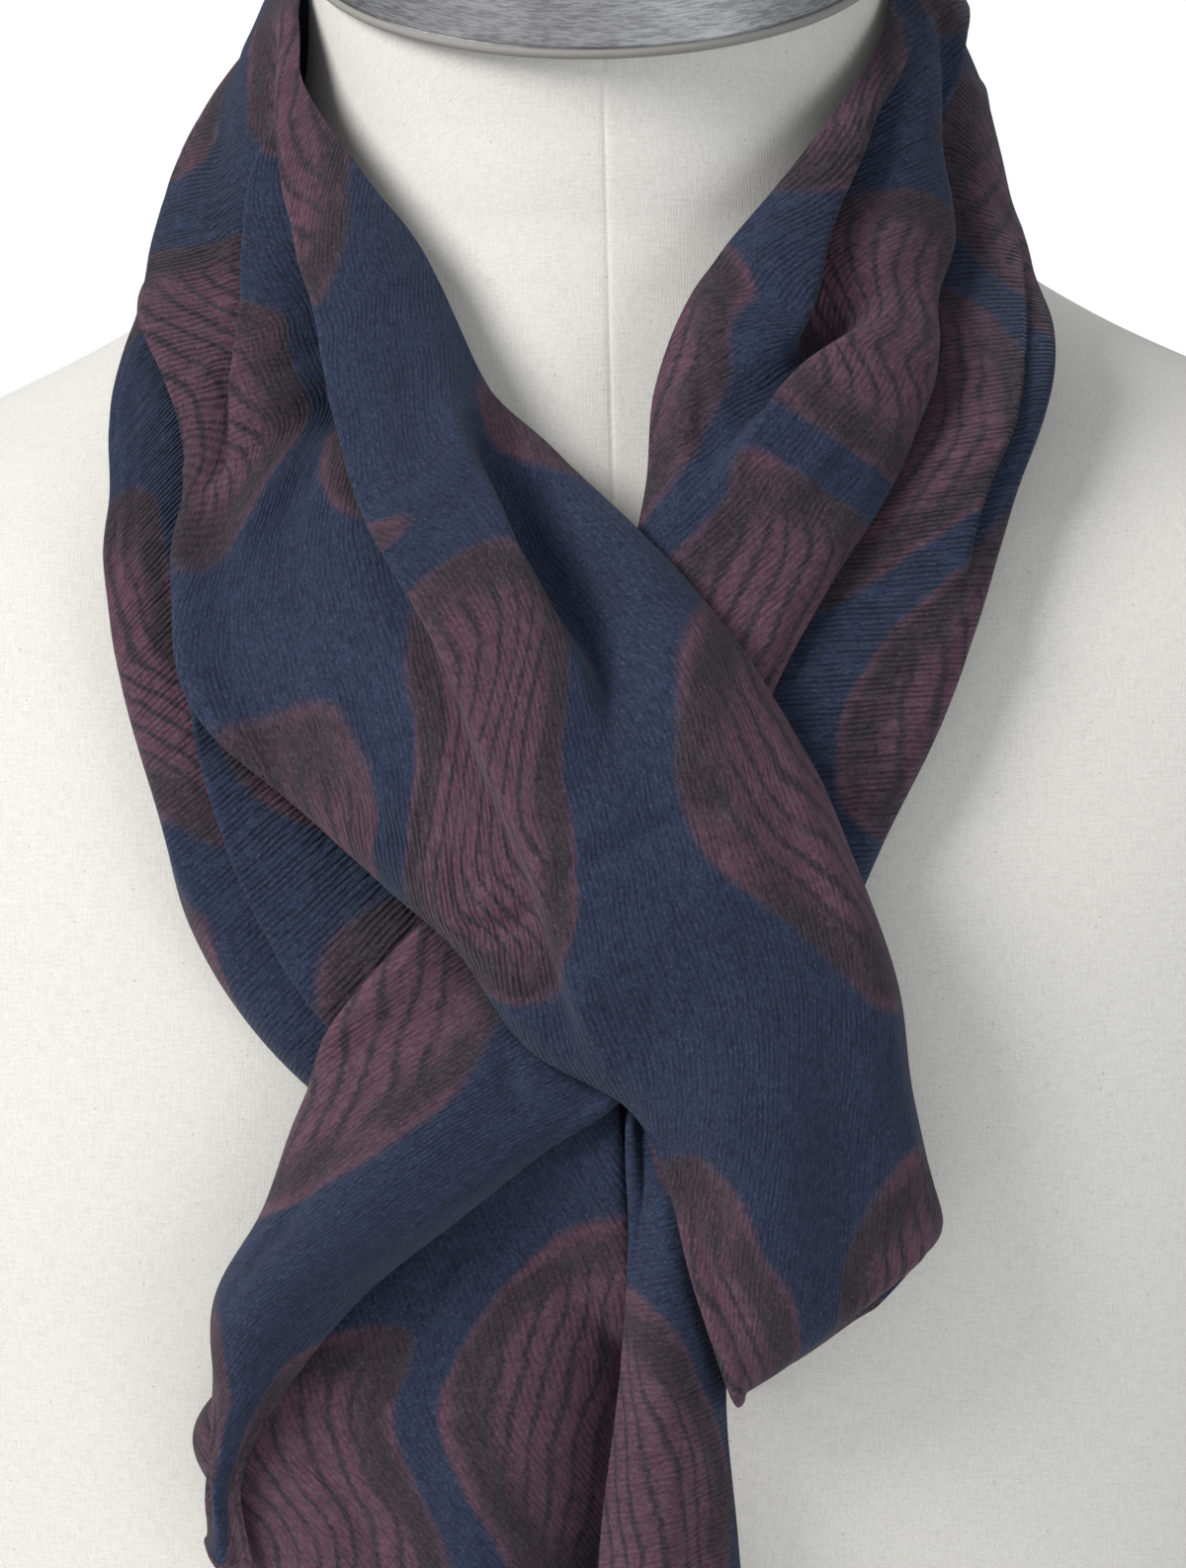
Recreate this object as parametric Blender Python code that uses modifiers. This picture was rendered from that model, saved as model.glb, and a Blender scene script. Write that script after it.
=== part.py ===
"""Wool scarf looped round the neck of a limbless dress form.

The scarf is one long cloth, folded in half crosswise and put round the neck.  Its fold makes a loop
on one side; the two ends come round the other side, pass through the loop and hang down the chest.
Each stretch of cloth that shows is a thin wall, lofted through a short table of stations.  A station
gives the two long edges of the stretch by their bearing round the form, their height and how far
they stand off it.

Origin: centre of the form's flat underside.  +Z is up and the front faces -Y.
"""
import math
from collections import namedtuple

import bpy
from mathutils import Matrix, Vector
from mathutils.bvhtree import BVHTree

MM = 0.001

# ---------------------------------------------------------------- driving sizes, in mm
WALL = 1.8                  # thickness of the cloth's wall
LAYER_GAP = 1.6             # air between one layer of cloth and the next, and the form
PROBE = 3.0                 # how far round each point the layers below are felt for
NECK_RADIUS = 62.0          # a 39 cm neck
NECK_TOP = 666.0            # height of the middle of the neck's cut
NECK_TOP_SHIFT = -12.0      # how far forward (-Y) that middle stands
NECK_TILT = 19.0            # degrees that the cut leans forward
CAP_OVERHANG = 0.6          # metal cap beyond the neck
CAP_HEIGHT = 30.0           # straight side of the cap
CAP_DOME = 7.0              # rise of its top
SEAT_GAP = 0.3              # between the cap and the neck's cut
FORM_SIDES = 44             # faces round the form
TORSO_STEP = 42.0           # tallest step between rings up to the chest
SHOULDER_STEP = 7.5         # and from there over the shoulders
SHOULDER_START = 500.0
NECK_FOOT = 606.0           # above this the rings tilt towards the neck's cut
NECK_RINGS = 5

# Horizontal sections of the dress form, from the flat underside at the hips to the neck.
Section = namedtuple("Section", "height half_width front back squareness")
FORM_SECTIONS = [
    Section(0, 172, 112, 116, 2.3),       # hips, flat underside
    Section(70, 172, 112, 120, 2.3),
    Section(190, 150, 99, 98, 2.2),       # waist
    Section(300, 166, 112, 106, 2.3),
    Section(400, 184, 118, 114, 2.4),     # chest
    Section(460, 194, 113, 114, 2.5),
    Section(500, 201, 104, 112, 2.6),
    Section(528, 205, 94, 108, 2.6),      # shoulder ends
    Section(546, 196, 86, 103, 2.5),
    Section(560, 168, 80, 98, 2.3),
    Section(574, 133, 74, 91, 2.2),
    Section(588, 104, 69, 83, 2.1),
    Section(600, 86, 65, 75, 2.0),        # neck's foot
    Section(615, 73, 62, 67, 2.0),
    Section(630, 66.5, 62, 61.5, 2.0),
    Section(650, 63, 66, 55, 2.0),
    Section(690, 62, 79, 45, 2.0),
    Section(720, 62, 86, 38, 2.0),
]

# Stations along a stretch of cloth.  Angles are bearings round the form in degrees: 0 is the front,
# +90 the side at +X, 180 the back.  The inner edge is the one nearer the throat.  A lift is how far
# the cloth stands off the form, and the crown is what its middle stands out beyond its edges.
Station = namedtuple("Station", "in_angle in_height in_lift out_angle out_height out_lift crown")

# A fold runs through points (station, place across from 0 at the inner edge to 1, rise).  Its kind
# says which way it acts: "inner" lifts the cloth on its inner side, "outer" on its outer side, and
# "both" makes a rounded ridge, or a trough when the rise is negative.
Fold = namedtuple("Fold", "kind width points")

LOOP_FRONT = [
    Station(-180, 680, 5, -180, 645, 14, 5),     # middle of the nape
    Station(-150, 678, 5, -150, 644, 14, 5),
    Station(-118, 673, 5, -120, 642, 14, 5),
    Station(-90, 666, 5, -94, 650, 11, 3),       # side of the neck
    Station(-66, 658, 6, -74, 644, 12, 3),
    Station(-52, 642, 8, -66, 618, 13, 4),
    Station(-41, 625, 10, -57, 590, 14, 5),
    Station(-29, 609, 13, -48, 567, 14, 6),
    Station(-21, 593, 17, -42, 544, 14, 8),
    Station(-14, 577, 21, -36, 523, 15, 8),
    Station(-6, 566, 24, -29, 500, 19, 8),
    Station(3, 551, 25, -21, 484, 23, 8),        # lowest point of the throat opening
    Station(11, 531, 25, -14, 471, 26, 8),
    Station(17, 507, 25, -8, 452, 28, 7),
    Station(20, 487, 24, 0, 440, 28, 6),
    Station(23, 461, 22, 3, 426, 26, 8),
    Station(24, 439, 20, 5, 404, 24, 8),
    Station(26, 418, 16, 8, 378, 17, 6),
    Station(27, 414, 8, 9, 373, 9, 2),           # the loop turns back here
]
LOOP_FRONT_FOLDS = [
    Fold("inner", 26, [(3, 0.45, 2), (5, 0.45, 5), (7, 0.46, 8), (9, 0.46, 7), (10, 0.54, 4),
                       (11, 0.65, 3), (12, 0.73, 3), (13, 0.78, 4), (14, 0.95, 2)]),
    Fold("outer", 22, [(8.4, 0.02, 2), (9, 0.08, 8), (10, 0.26, 10), (11, 0.42, 5), (12, 0.5, 0)]),
    Fold("both", 9, [(9.5, 0.02, 2), (10.5, 0.1, 3), (12, 0.3, 4), (14, 0.4, 2)]),
]

LOOP_BACK = [
    Station(-180, 656, 9, -180, 592, 5, 12),
    Station(-150, 654, 9, -150, 592, 5, 13),
    Station(-118, 652, 9, -120, 594, 6, 16),
    Station(-94, 662, 7, -95, 596, 6, 17),
    Station(-82, 652, 8, -79, 593, 9, 14),
    Station(-69, 620, 9, -66, 587, 14, 8),
    Station(-54, 584, 9, -54, 564, 17, 6),
    Station(-45, 559, 9, -48, 541, 15, 5),
    Station(-38, 534, 9, -44, 519, 12, 5),
    Station(-31, 511, 9, -41, 497, 10, 4),
    Station(-24, 491, 9, -38, 474, 10, 4),
    Station(-17, 474, 9, -33, 454, 9, 4),
    Station(-8, 460, 9, -27, 438, 9, 4),
    Station(2, 452, 9, -17, 420, 8, 4),
    Station(12, 450, 9, -5, 400, 8, 4),
    Station(20, 445, 10, 5, 386, 8, 4),
    Station(25, 430, 10, 13, 382, 8, 4),
    Station(26, 408, 9, 20, 392, 8, 3),
]
LOOP_BACK_FOLDS = [
    Fold("outer", 12, [(3, 0.7, 2), (6, 0.68, 4), (8, 0.6, 5), (10, 0.7, 4), (12, 0.75, 2)]),
]

STRAND_INNER = [
    Station(180, 680, 5, 180, 645, 14, 5),
    Station(150, 678, 5, 150, 646, 14, 4),
    Station(118, 673, 5, 120, 648, 13, 3),
    Station(90, 666, 5, 94, 653, 9, 2),
    Station(66, 661, 5, 76, 651, 10, 2),
    Station(55, 654, 6, 67, 642, 13, 3),
    Station(46, 641, 8, 62, 625, 16, 4),
    Station(35, 628, 12, 57, 608, 17, 4),
    Station(22, 613, 16, 47, 594, 18, 4),
    Station(12, 598, 20, 37, 573, 19, 4),
    Station(6, 580, 23, 30, 557, 20, 4),
    Station(4, 560, 24, 23, 541, 20, 3),
    Station(1, 540, 20, 16, 522, 18, 3),         # from here on under the loop
    Station(-4, 516, 16, 11, 500, 16, 3),
    Station(-10, 494, 14, 8, 476, 14, 3),
    Station(-18, 475, 14, 4, 455, 14, 3),
    Station(-25, 457, 17, -1, 440, 16, 5),       # the lobe comes out below it
    Station(-28, 438, 19, -7, 431, 18, 6),
    Station(-30, 418, 19, -14, 418, 19, 7),
    Station(-33, 397, 18, -22, 402, 18, 6),
    Station(-35, 376, 16, -29, 381, 16, 4),
    Station(-36, 358, 13, -33, 362, 14, 2),
    Station(-37, 347, 12, -33, 343, 12, 1),      # corner of the hem
]
STRAND_INNER_FOLDS = [
    Fold("inner", 14, [(4.5, 0.6, 1), (6, 0.35, 5), (7, 0.3, 7), (8, 0.4, 7), (9, 0.48, 6),
                       (10.5, 0.45, 2)]),
]

STRAND_OUTER = [
    Station(180, 656, 9, 180, 592, 5, 12),
    Station(150, 654, 9, 150, 592, 5, 12),
    Station(118, 658, 8, 120, 598, 5, 12),
    Station(94, 662, 6, 94, 603, 4, 11),
    Station(80, 656, 7, 80, 602, 7, 10),
    Station(70, 638, 8, 71, 602, 14, 6),
    Station(62, 618, 8, 66, 599, 18, 4),
    Station(50, 596, 8, 58, 588, 21, 4),
    Station(38, 574, 9, 49, 571, 21, 4),
    Station(29, 557, 10, 42, 553, 18, 3),
    Station(21, 540, 10, 36, 531, 16, 3),
    Station(13, 521, 10, 31, 511, 14, 3),
    Station(8, 500, 10, 25, 489, 12, 3),
    Station(5, 476, 10, 20, 468, 11, 3),
    Station(2, 453, 12, 15, 449, 12, 3),
    Station(0, 436, 15, 11, 432, 15, 3),         # the centre tail comes out of the loop
    Station(0, 412, 17, 9, 410, 16, 3),
    Station(-1, 383, 17, 8, 378, 16, 3),
    Station(-3, 350, 16, 9, 347, 15, 3),
    Station(-4, 316, 15, 10, 315, 14, 3),
    Station(-5, 282, 14, 10, 282, 13, 3),
    Station(-6, 250, 13, 11, 250, 12, 3),        # its hem
]

LEFT_TAIL = [
    Station(-18, 446, 11, -1, 440, 11, 2),
    Station(-25, 405, 12, 0, 405, 12, 2),
    Station(-30, 374, 12, -1, 375, 12, 2),
    Station(-33, 344, 12, -3, 343, 12, 2),
    Station(-36, 310, 11, -4, 310, 12, 2),
    Station(-38, 275, 10, -5, 276, 11, 2),
    Station(-40, 240, 9, -6, 242, 10, 2),        # its hem
]

EDGE_ROLL = 5.0             # how far a folded long edge turns in towards the form
EDGE_ROLL_WIDTH = 6.0       # over this much of the cloth


# ---------------------------------------------------------------- shared shape rules
def through(values, place):
    """Smooth value at a place between rows: Catmull-Rom, level at the first and last row."""
    last = len(values) - 1
    row = min(max(int(math.floor(place)), 0), last - 1)
    t = min(max(place - row, 0.0), 1.0)
    before = values[max(row - 1, 0)]
    start, end = values[row], values[row + 1]
    after = values[min(row + 2, last)]
    return 0.5 * (2 * start + (end - before) * t + (2 * before - 5 * start + 4 * end - after) * t * t
                  + (3 * start - before - 3 * end + after) * t ** 3)


def form_size(column, height):
    """A column of FORM_SECTIONS at any height, without overshoot between sections."""
    heights = [section.height for section in FORM_SECTIONS]
    values = [getattr(section, column) for section in FORM_SECTIONS]
    height = min(max(height, heights[0]), heights[-1])
    row = 0
    while row < len(heights) - 2 and heights[row + 1] <= height:
        row += 1

    def slope(k):
        if k in (0, len(values) - 1):
            return 0.0
        left = (values[k] - values[k - 1]) / (heights[k] - heights[k - 1])
        right = (values[k + 1] - values[k]) / (heights[k + 1] - heights[k])
        return 0.0 if left * right <= 0 else 2 * left * right / (left + right)

    step = heights[row + 1] - heights[row]
    t = (height - heights[row]) / step
    return ((2 * t ** 3 - 3 * t ** 2 + 1) * values[row] + (t ** 3 - 2 * t ** 2 + t) * slope(row) * step
            + (3 * t ** 2 - 2 * t ** 3) * values[row + 1] + (t ** 3 - t ** 2) * slope(row + 1) * step)


def form_radius(bearing, height):
    """Distance from the upright axis to the form's skin, in mm; the bearing is in radians."""
    power = form_size("squareness", height)
    depth = form_size("front" if math.cos(bearing) > 0 else "back", height)
    across = abs(math.sin(bearing)) / form_size("half_width", height)
    along = abs(math.cos(bearing)) / depth
    return (across ** power + along ** power) ** (-1.0 / power)


def outward(bearing):
    """Level unit vector at a bearing, away from the upright axis."""
    return Vector((math.sin(bearing), -math.cos(bearing), 0.0))


def ease(t):
    """0 to 1 with level ends."""
    t = min(max(t, 0.0), 1.0)
    return t * t * (3 - 2 * t)


def fold_rise(fold, row, across, width_here):
    """What one fold adds to the lift, in mm, at a place on the cloth."""
    rows = [point[0] for point in fold.points]
    if row <= rows[0] or row >= rows[-1]:
        return 0.0
    k = max(i for i in range(len(rows) - 1) if rows[i] <= row)
    t = (row - rows[k]) / (rows[k + 1] - rows[k])
    place = fold.points[k][1] + (fold.points[k + 1][1] - fold.points[k][1]) * t
    rise = fold.points[k][2] + (fold.points[k + 1][2] - fold.points[k][2]) * t
    fade = ease((row - rows[0]) / 0.8) * ease((rows[-1] - row) / 0.8)
    away = (across - place) * width_here
    if fold.kind == "inner":
        away = -away
    if fold.kind == "both":
        return rise * fade * math.exp(-(away / fold.width) ** 2)
    edge = ease((away + 2.0) / 4.0)
    return rise * fade * edge * math.exp(-max(away, 0.0) / fold.width)


def cloth_point(stations, folds, row, across):
    """Bearing (radians), height and radius (mm) of the cloth's middle surface."""
    here = {name: through([getattr(s, name) for s in stations], row) for name in Station._fields}
    bearing_in, bearing_out = math.radians(here["in_angle"]), math.radians(here["out_angle"])
    start = outward(bearing_in) * (form_radius(bearing_in, here["in_height"]) + here["in_lift"])
    end = outward(bearing_out) * (form_radius(bearing_out, here["out_height"]) + here["out_lift"])
    start.z, end.z = here["in_height"], here["out_height"]
    width_here = (end - start).length

    bearing = bearing_in + (bearing_out - bearing_in) * across
    height = here["in_height"] + (here["out_height"] - here["in_height"]) * across
    lift = here["in_lift"] + (here["out_lift"] - here["in_lift"]) * across
    lift += here["crown"] * 4 * across * (1 - across)
    for fold in folds:
        lift += fold_rise(fold, row, across, width_here)
    from_edge = min(across, 1 - across) * width_here
    lift -= EDGE_ROLL * max(0.0, 1 - from_edge / EDGE_ROLL_WIDTH) ** 2
    return bearing, height, form_radius(bearing, height) + lift


def outermost(layers, bearing, height):
    """Radius in mm of the outermost skin met at a bearing and height, or 0 where there is none."""
    way = outward(bearing)
    start = way * 0.4 + Vector((0, 0, height * MM))
    found = 0.0
    for layer in layers:
        hit = layer.ray_cast(start, -way, 0.4)[0]
        if hit is not None:
            found = max(found, math.hypot(hit.x, hit.y) / MM)
    return found


def spread_and_smooth(field):
    """Widen each peak of a grid by a cell, then average, so no value falls below its own start."""
    rows, columns = len(field), len(field[0])

    def around(grid, j, i):
        return [grid[b][a] for b in range(max(j - 1, 0), min(j + 2, rows))
                for a in range(max(i - 1, 0), min(i + 2, columns))]

    widest = [[max(around(field, j, i)) for i in range(columns)] for j in range(rows)]
    return [[sum(around(widest, j, i)) / len(around(widest, j, i)) for i in range(columns)]
            for j in range(rows)]


# ---------------------------------------------------------------- mesh makers
def new_object(name, vertices, faces, material, collection):
    mesh = bpy.data.meshes.new(name)
    mesh.from_pydata(vertices, [], faces)
    mesh.update()
    mesh.materials.append(material)
    mesh.shade_smooth()
    obj = bpy.data.objects.new(name, mesh)
    collection.objects.link(obj)
    return obj


def skin_of(obj):
    """Search tree of an object's finished mesh in world space."""
    bpy.context.view_layer.update()
    finished = obj.evaluated_get(bpy.context.evaluated_depsgraph_get())
    mesh = finished.to_mesh()
    points = [obj.matrix_world @ vertex.co for vertex in mesh.vertices]
    tree = BVHTree.FromPolygons(points, [tuple(face.vertices) for face in mesh.polygons])
    finished.to_mesh_clear()
    return tree


def make_cloth(name, stations, folds, cells_along, cells_across, under, material, collection):
    """A stretch of cloth: a lofted surface kept clear of the layers under it, with a wall."""
    places = []
    lack = []
    for j in range(cells_along + 1):
        row = (len(stations) - 1) * j / cells_along
        places.append([])
        lack.append([])
        for i in range(cells_across + 1):
            across = 0.5 - 0.5 * math.cos(math.pi * i / cells_across)
            bearing, height, radius = cloth_point(stations, folds, row, across)
            turn = PROBE / radius
            below = max(outermost(under, bearing + da, height + dh)
                        for da, dh in ((0, 0), (turn, 0), (-turn, 0), (0, PROBE), (0, -PROBE)))
            floor = below + LAYER_GAP + WALL / 2
            places[j].append((bearing, height, radius))
            lack[j].append(max(0.0, floor - radius))
    raised = spread_and_smooth(lack)
    vertices = []
    for j, line in enumerate(places):
        for i, (bearing, height, radius) in enumerate(line):
            point = outward(bearing) * (radius + raised[j][i])
            point.z = height
            vertices.append(point * MM)
    columns = cells_across + 1
    faces = [(j * columns + i, j * columns + i + 1, (j + 1) * columns + i + 1, (j + 1) * columns + i)
             for j in range(cells_along) for i in range(cells_across)]
    obj = new_object(name, vertices, faces, material, collection)
    wall = obj.modifiers.new("wall", "SOLIDIFY")
    wall.thickness = WALL * MM
    wall.offset = 0.0
    return obj


def ring_heights():
    """Heights of the form's level rings: each section, and even steps between them."""
    heights = [0.0]
    for low, high in zip(FORM_SECTIONS, FORM_SECTIONS[1:]):
        top = min(high.height, NECK_FOOT)
        step = TORSO_STEP if low.height < SHOULDER_START else SHOULDER_STEP
        count = max(1, math.ceil((top - low.height) / step))
        heights += [low.height + (top - low.height) * (k + 1) / count for k in range(count)]
        if high.height >= NECK_FOOT:
            return heights


def make_form(material, collection):
    """The torso and neck: rings from the flat underside to the neck's tilted cut."""
    heights = ring_heights()
    rings = [[(2 * math.pi * i / FORM_SIDES, height) for i in range(FORM_SIDES)] for height in heights]
    for k in range(NECK_RINGS):
        share = (k + 1) / NECK_RINGS
        rings.append([(bearing, NECK_FOOT + (neck_cut_height(bearing) - NECK_FOOT) * share)
                      for bearing, _ in rings[0]])
    vertices = []
    for ring in rings:
        for bearing, height in ring:
            point = outward(bearing) * form_radius(bearing, height)
            vertices.append(Vector((point.x, point.y, height)) * MM)
    faces = []
    last = len(rings) - 1
    for k in range(last):
        for i in range(FORM_SIDES):
            a, b = k * FORM_SIDES + i, k * FORM_SIDES + (i + 1) % FORM_SIDES
            faces.append((a, b, b + FORM_SIDES, a + FORM_SIDES))
    faces.append(tuple(reversed(range(FORM_SIDES))))
    faces.append(tuple(last * FORM_SIDES + i for i in range(FORM_SIDES)))
    return new_object("form_body", vertices, faces, material, collection)


def neck_cut_height(bearing):
    """Height at which the neck's skin meets its tilted cut, at a bearing."""
    height = NECK_TOP
    for _ in range(12):
        forward = math.cos(bearing) * form_radius(bearing, height) + NECK_TOP_SHIFT
        height = NECK_TOP - math.tan(math.radians(NECK_TILT)) * forward
    return height


def make_cap(material, collection):
    """The metal cap on the neck: a turned lid, tilted with the neck's cut."""
    radius = NECK_RADIUS + CAP_OVERHANG
    profile = [Vector((0.01, 0, CAP_HEIGHT + CAP_DOME))]
    for degrees in (75, 60, 45, 30, 15):
        turn = math.radians(degrees)
        profile.append(Vector((radius * math.cos(turn), 0, CAP_HEIGHT + CAP_DOME * math.sin(turn))))
    profile += [Vector((radius, 0, CAP_HEIGHT - 1)), Vector((radius, 0, 0)), Vector((0.01, 0, 0))]
    profile[0].x = profile[-1].x = 0.0
    obj = new_object("neck_cap", [p * MM for p in profile], [], material, collection)
    obj.data.edges.add(len(profile) - 1)
    for k, edge in enumerate(obj.data.edges):
        edge.vertices = (k, k + 1)
    turned = obj.modifiers.new("turned", "SCREW")
    turned.steps = turned.render_steps = 40
    turned.use_merge_vertices = True
    turned.merge_threshold = 0.00001
    tilt = math.radians(NECK_TILT)
    obj.rotation_euler.x = tilt
    lifted = Matrix.Rotation(tilt, 3, "X") @ Vector((0, 0, SEAT_GAP))
    obj.location = (Vector((0, NECK_TOP_SHIFT, NECK_TOP)) + lifted) * MM
    return obj


def new_material(name, colour, roughness, metallic=0.0):
    material = bpy.data.materials.new(name)
    material.use_nodes = True
    shader = material.node_tree.nodes["Principled BSDF"]
    shader.inputs["Base Color"].default_value = (*colour, 1.0)
    shader.inputs["Roughness"].default_value = roughness
    shader.inputs["Metallic"].default_value = metallic
    return material


def main():
    for obj in list(bpy.data.objects):
        bpy.data.objects.remove(obj, do_unlink=True)
    collection = bpy.data.collections.new("wool_scarf_on_dress_form")
    bpy.context.scene.collection.children.link(collection)
    linen = new_material("linen", (0.74, 0.70, 0.62), 0.85)
    metal = new_material("brushed_metal", (0.45, 0.45, 0.47), 0.35, 1.0)
    wool = new_material("printed_wool", (0.035, 0.05, 0.12), 0.9)

    layers = [skin_of(make_form(linen, collection)), skin_of(make_cap(metal, collection))]
    for name, stations, folds, along, across in (
            ("loop_back", LOOP_BACK, LOOP_BACK_FOLDS, 34, 12),
            ("left_tail", LEFT_TAIL, [], 14, 12),
            ("strand_outer", STRAND_OUTER, [], 40, 12),
            ("strand_inner", STRAND_INNER, STRAND_INNER_FOLDS, 42, 14),
            ("loop_front", LOOP_FRONT, LOOP_FRONT_FOLDS, 36, 24)):
        cloth = make_cloth(name, stations, folds, along, across, layers, wool, collection)
        layers.append(skin_of(cloth))


main()
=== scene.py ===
"""Printed wool scarf looped round the neck of a linen dress form with a metal neck cap.

The file is laid out as an add-on and run as a script.  Each stretch of the scarf is a fine sheet,
lofted through the same stations as its solid, with its folds, gathers and creases added, kept clear
of the layers under it and given its thickness.  Sizes in the tables are in millimetres.
"""
import math
import random
from collections import namedtuple

import bmesh
import bpy
import numpy as np
from bpy.props import FloatProperty, FloatVectorProperty, PointerProperty
from mathutils import Matrix, Vector
from mathutils.bvhtree import BVHTree


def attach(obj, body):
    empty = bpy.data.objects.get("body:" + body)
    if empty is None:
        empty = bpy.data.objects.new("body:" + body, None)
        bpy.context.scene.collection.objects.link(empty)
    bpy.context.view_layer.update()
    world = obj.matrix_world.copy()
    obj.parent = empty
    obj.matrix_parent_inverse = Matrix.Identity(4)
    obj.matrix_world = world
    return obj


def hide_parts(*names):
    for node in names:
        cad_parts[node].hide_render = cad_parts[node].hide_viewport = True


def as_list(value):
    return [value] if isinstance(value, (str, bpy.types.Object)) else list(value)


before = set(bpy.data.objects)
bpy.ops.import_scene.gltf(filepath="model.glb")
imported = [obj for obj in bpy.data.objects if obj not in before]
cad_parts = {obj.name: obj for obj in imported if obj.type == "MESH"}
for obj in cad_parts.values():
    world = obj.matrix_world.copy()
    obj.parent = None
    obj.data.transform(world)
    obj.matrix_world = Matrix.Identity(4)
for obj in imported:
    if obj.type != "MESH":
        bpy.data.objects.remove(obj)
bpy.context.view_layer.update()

bl_info = {
    "name": "Wool Scarf on a Dress Form",
    "version": (1, 0, 0),
    "blender": (4, 5, 0),
    "location": "View3D > Sidebar > Scarf",
    "description": "Builds a printed wool scarf looped round the neck of a linen dress form",
    "category": "Object",
}

MM = 0.001
BODY = "root"


def table(kind, rows):
    """A table's rows, with their columns named."""
    return [kind(*row) for row in rows]


# ---------------------------------------------------------------- the form's sections
Section = namedtuple("Section", "height half_width front back squareness")
FORM_SECTIONS = table(Section, [
    (0, 172, 112, 116, 2.3),                # hips, flat underside
    (70, 172, 112, 120, 2.3),
    (190, 150, 99, 98, 2.2),                # waist
    (300, 166, 112, 106, 2.3),
    (400, 184, 118, 114, 2.4),              # chest
    (460, 194, 113, 114, 2.5),
    (500, 201, 104, 112, 2.6),
    (528, 205, 94, 108, 2.6),               # shoulder ends
    (546, 196, 86, 103, 2.5),
    (560, 168, 80, 98, 2.3),
    (574, 133, 74, 91, 2.2),
    (588, 104, 69, 83, 2.1),
    (600, 86, 65, 75, 2.0),                 # neck's foot
    (615, 73, 62, 67, 2.0),
    (630, 66.5, 62, 61.5, 2.0),
    (650, 63, 66, 55, 2.0),
    (690, 62, 79, 45, 2.0),
    (720, 62, 86, 38, 2.0),
])
NECK_TOP = 666.0            # height of the neck's cut on its axis
NECK_TOP_SHIFT = -12.0      # how far behind the upright axis the cut's centre lies
NECK_TILT = 19.0            # forward lean of the cut, in degrees
NECK_FOOT = 606.0           # from here up the rings tilt towards the cut
CUT_ROUNDS = 12             # rounds that settle where the skin meets the cut
SEAM_BEARINGS = (0.0, 88.0, 180.0, 272.0)
SEAM_STEP = 0.0042          # turn between the seven columns that shape a seam
COLUMNS = 232
CHEST_TOP = 480.0           # the rings lie closer from here up
RINGS = 90                  # rings below it, and again from it to the neck's foot
TILTED_RINGS = 40
CAP_RIM = ((-0.0022, 0.0), (-0.0008, 0.0001), (-0.0001, 0.0006), (0.0002, 0.0013), (0.0, 0.0020),
           (-0.0005, 0.0024), (-0.0006, 0.0030))        # m out from the cap's radius, and up
CAP_RIM_TOP = 0.0030        # m up the cap's side, where its matt rim ends
CAP_SIDE_STEPS = 12
CAP_EDGE = 0.0025           # m below the side's top, where the dome's rounding begins
CAP_EDGE_IN = 0.0006        # m that the side stands in from the cap's radius
CAP_SEAT_GAP = 0.0003       # m between the neck's cut and the cap
CAP_STEPS = 160

# ---------------------------------------------------------------- the stretches of the scarf
# A station gives the two long edges of a stretch by bearing (degrees, 0 in front, +90 at +X),
# height and stand-off from the form, and what the middle stands out beyond its edges.
Station = namedtuple("Station", "in_angle in_height in_lift out_angle out_height out_lift crown")

# A fold runs through points (station, place across from 0 at the inner edge to 1, rise).
# "inner" and "outer" lift the cloth on that side of the line and lap it over the other side by
# tuck; "both" makes a ridge or a trough.  Width is how far the rise reaches.
Fold = namedtuple("Fold", "kind width tuck points")

# A crease runs any way through such points, as a soft trough (rise below 0) or ridge.
Crease = namedtuple("Crease", "width points")

# Gathers are short ridges side by side along a line through (station, place across).
Gathers = namedtuple("Gathers", "points pitch length depth lean")

LOOP_FRONT = table(Station, [
    (-180, 680, 5, -180, 645, 14, 5),       # middle of the nape
    (-150, 678, 5, -150, 644, 14, 5),
    (-118, 673, 5, -120, 646, 9, 4),
    (-92, 666, 5, -97, 640, 8, 4),          # side of the neck
    (-72, 658, 5, -85, 626, 14, 6),
    (-57, 642, 6, -71, 606, 17, 6),
    (-42, 625, 7, -55, 583, 16, 6),
    (-30, 609, 9, -46.5, 562, 15, 6),
    (-22, 593, 12, -43, 542, 13, 7),
    (-15, 577, 16, -38.5, 520, 13, 8),
    (-6.5, 566, 20, -29.5, 500, 18, 8),
    (3, 551, 23, -21, 484, 22, 8),          # lowest point of the throat opening
    (11, 531, 25, -14, 471, 26, 8),
    (17, 507, 25, -8, 452, 28, 7),
    (20, 487, 24, 0, 440, 28, 6),
    (23, 461, 22, 3, 426, 26, 8),
    (24, 439, 20, 5, 404, 24, 8),
    (26, 416, 16, 8, 381, 17, 7),
    (27, 411, 8, 9, 377, 9, 3),             # the loop turns back here
])
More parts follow.
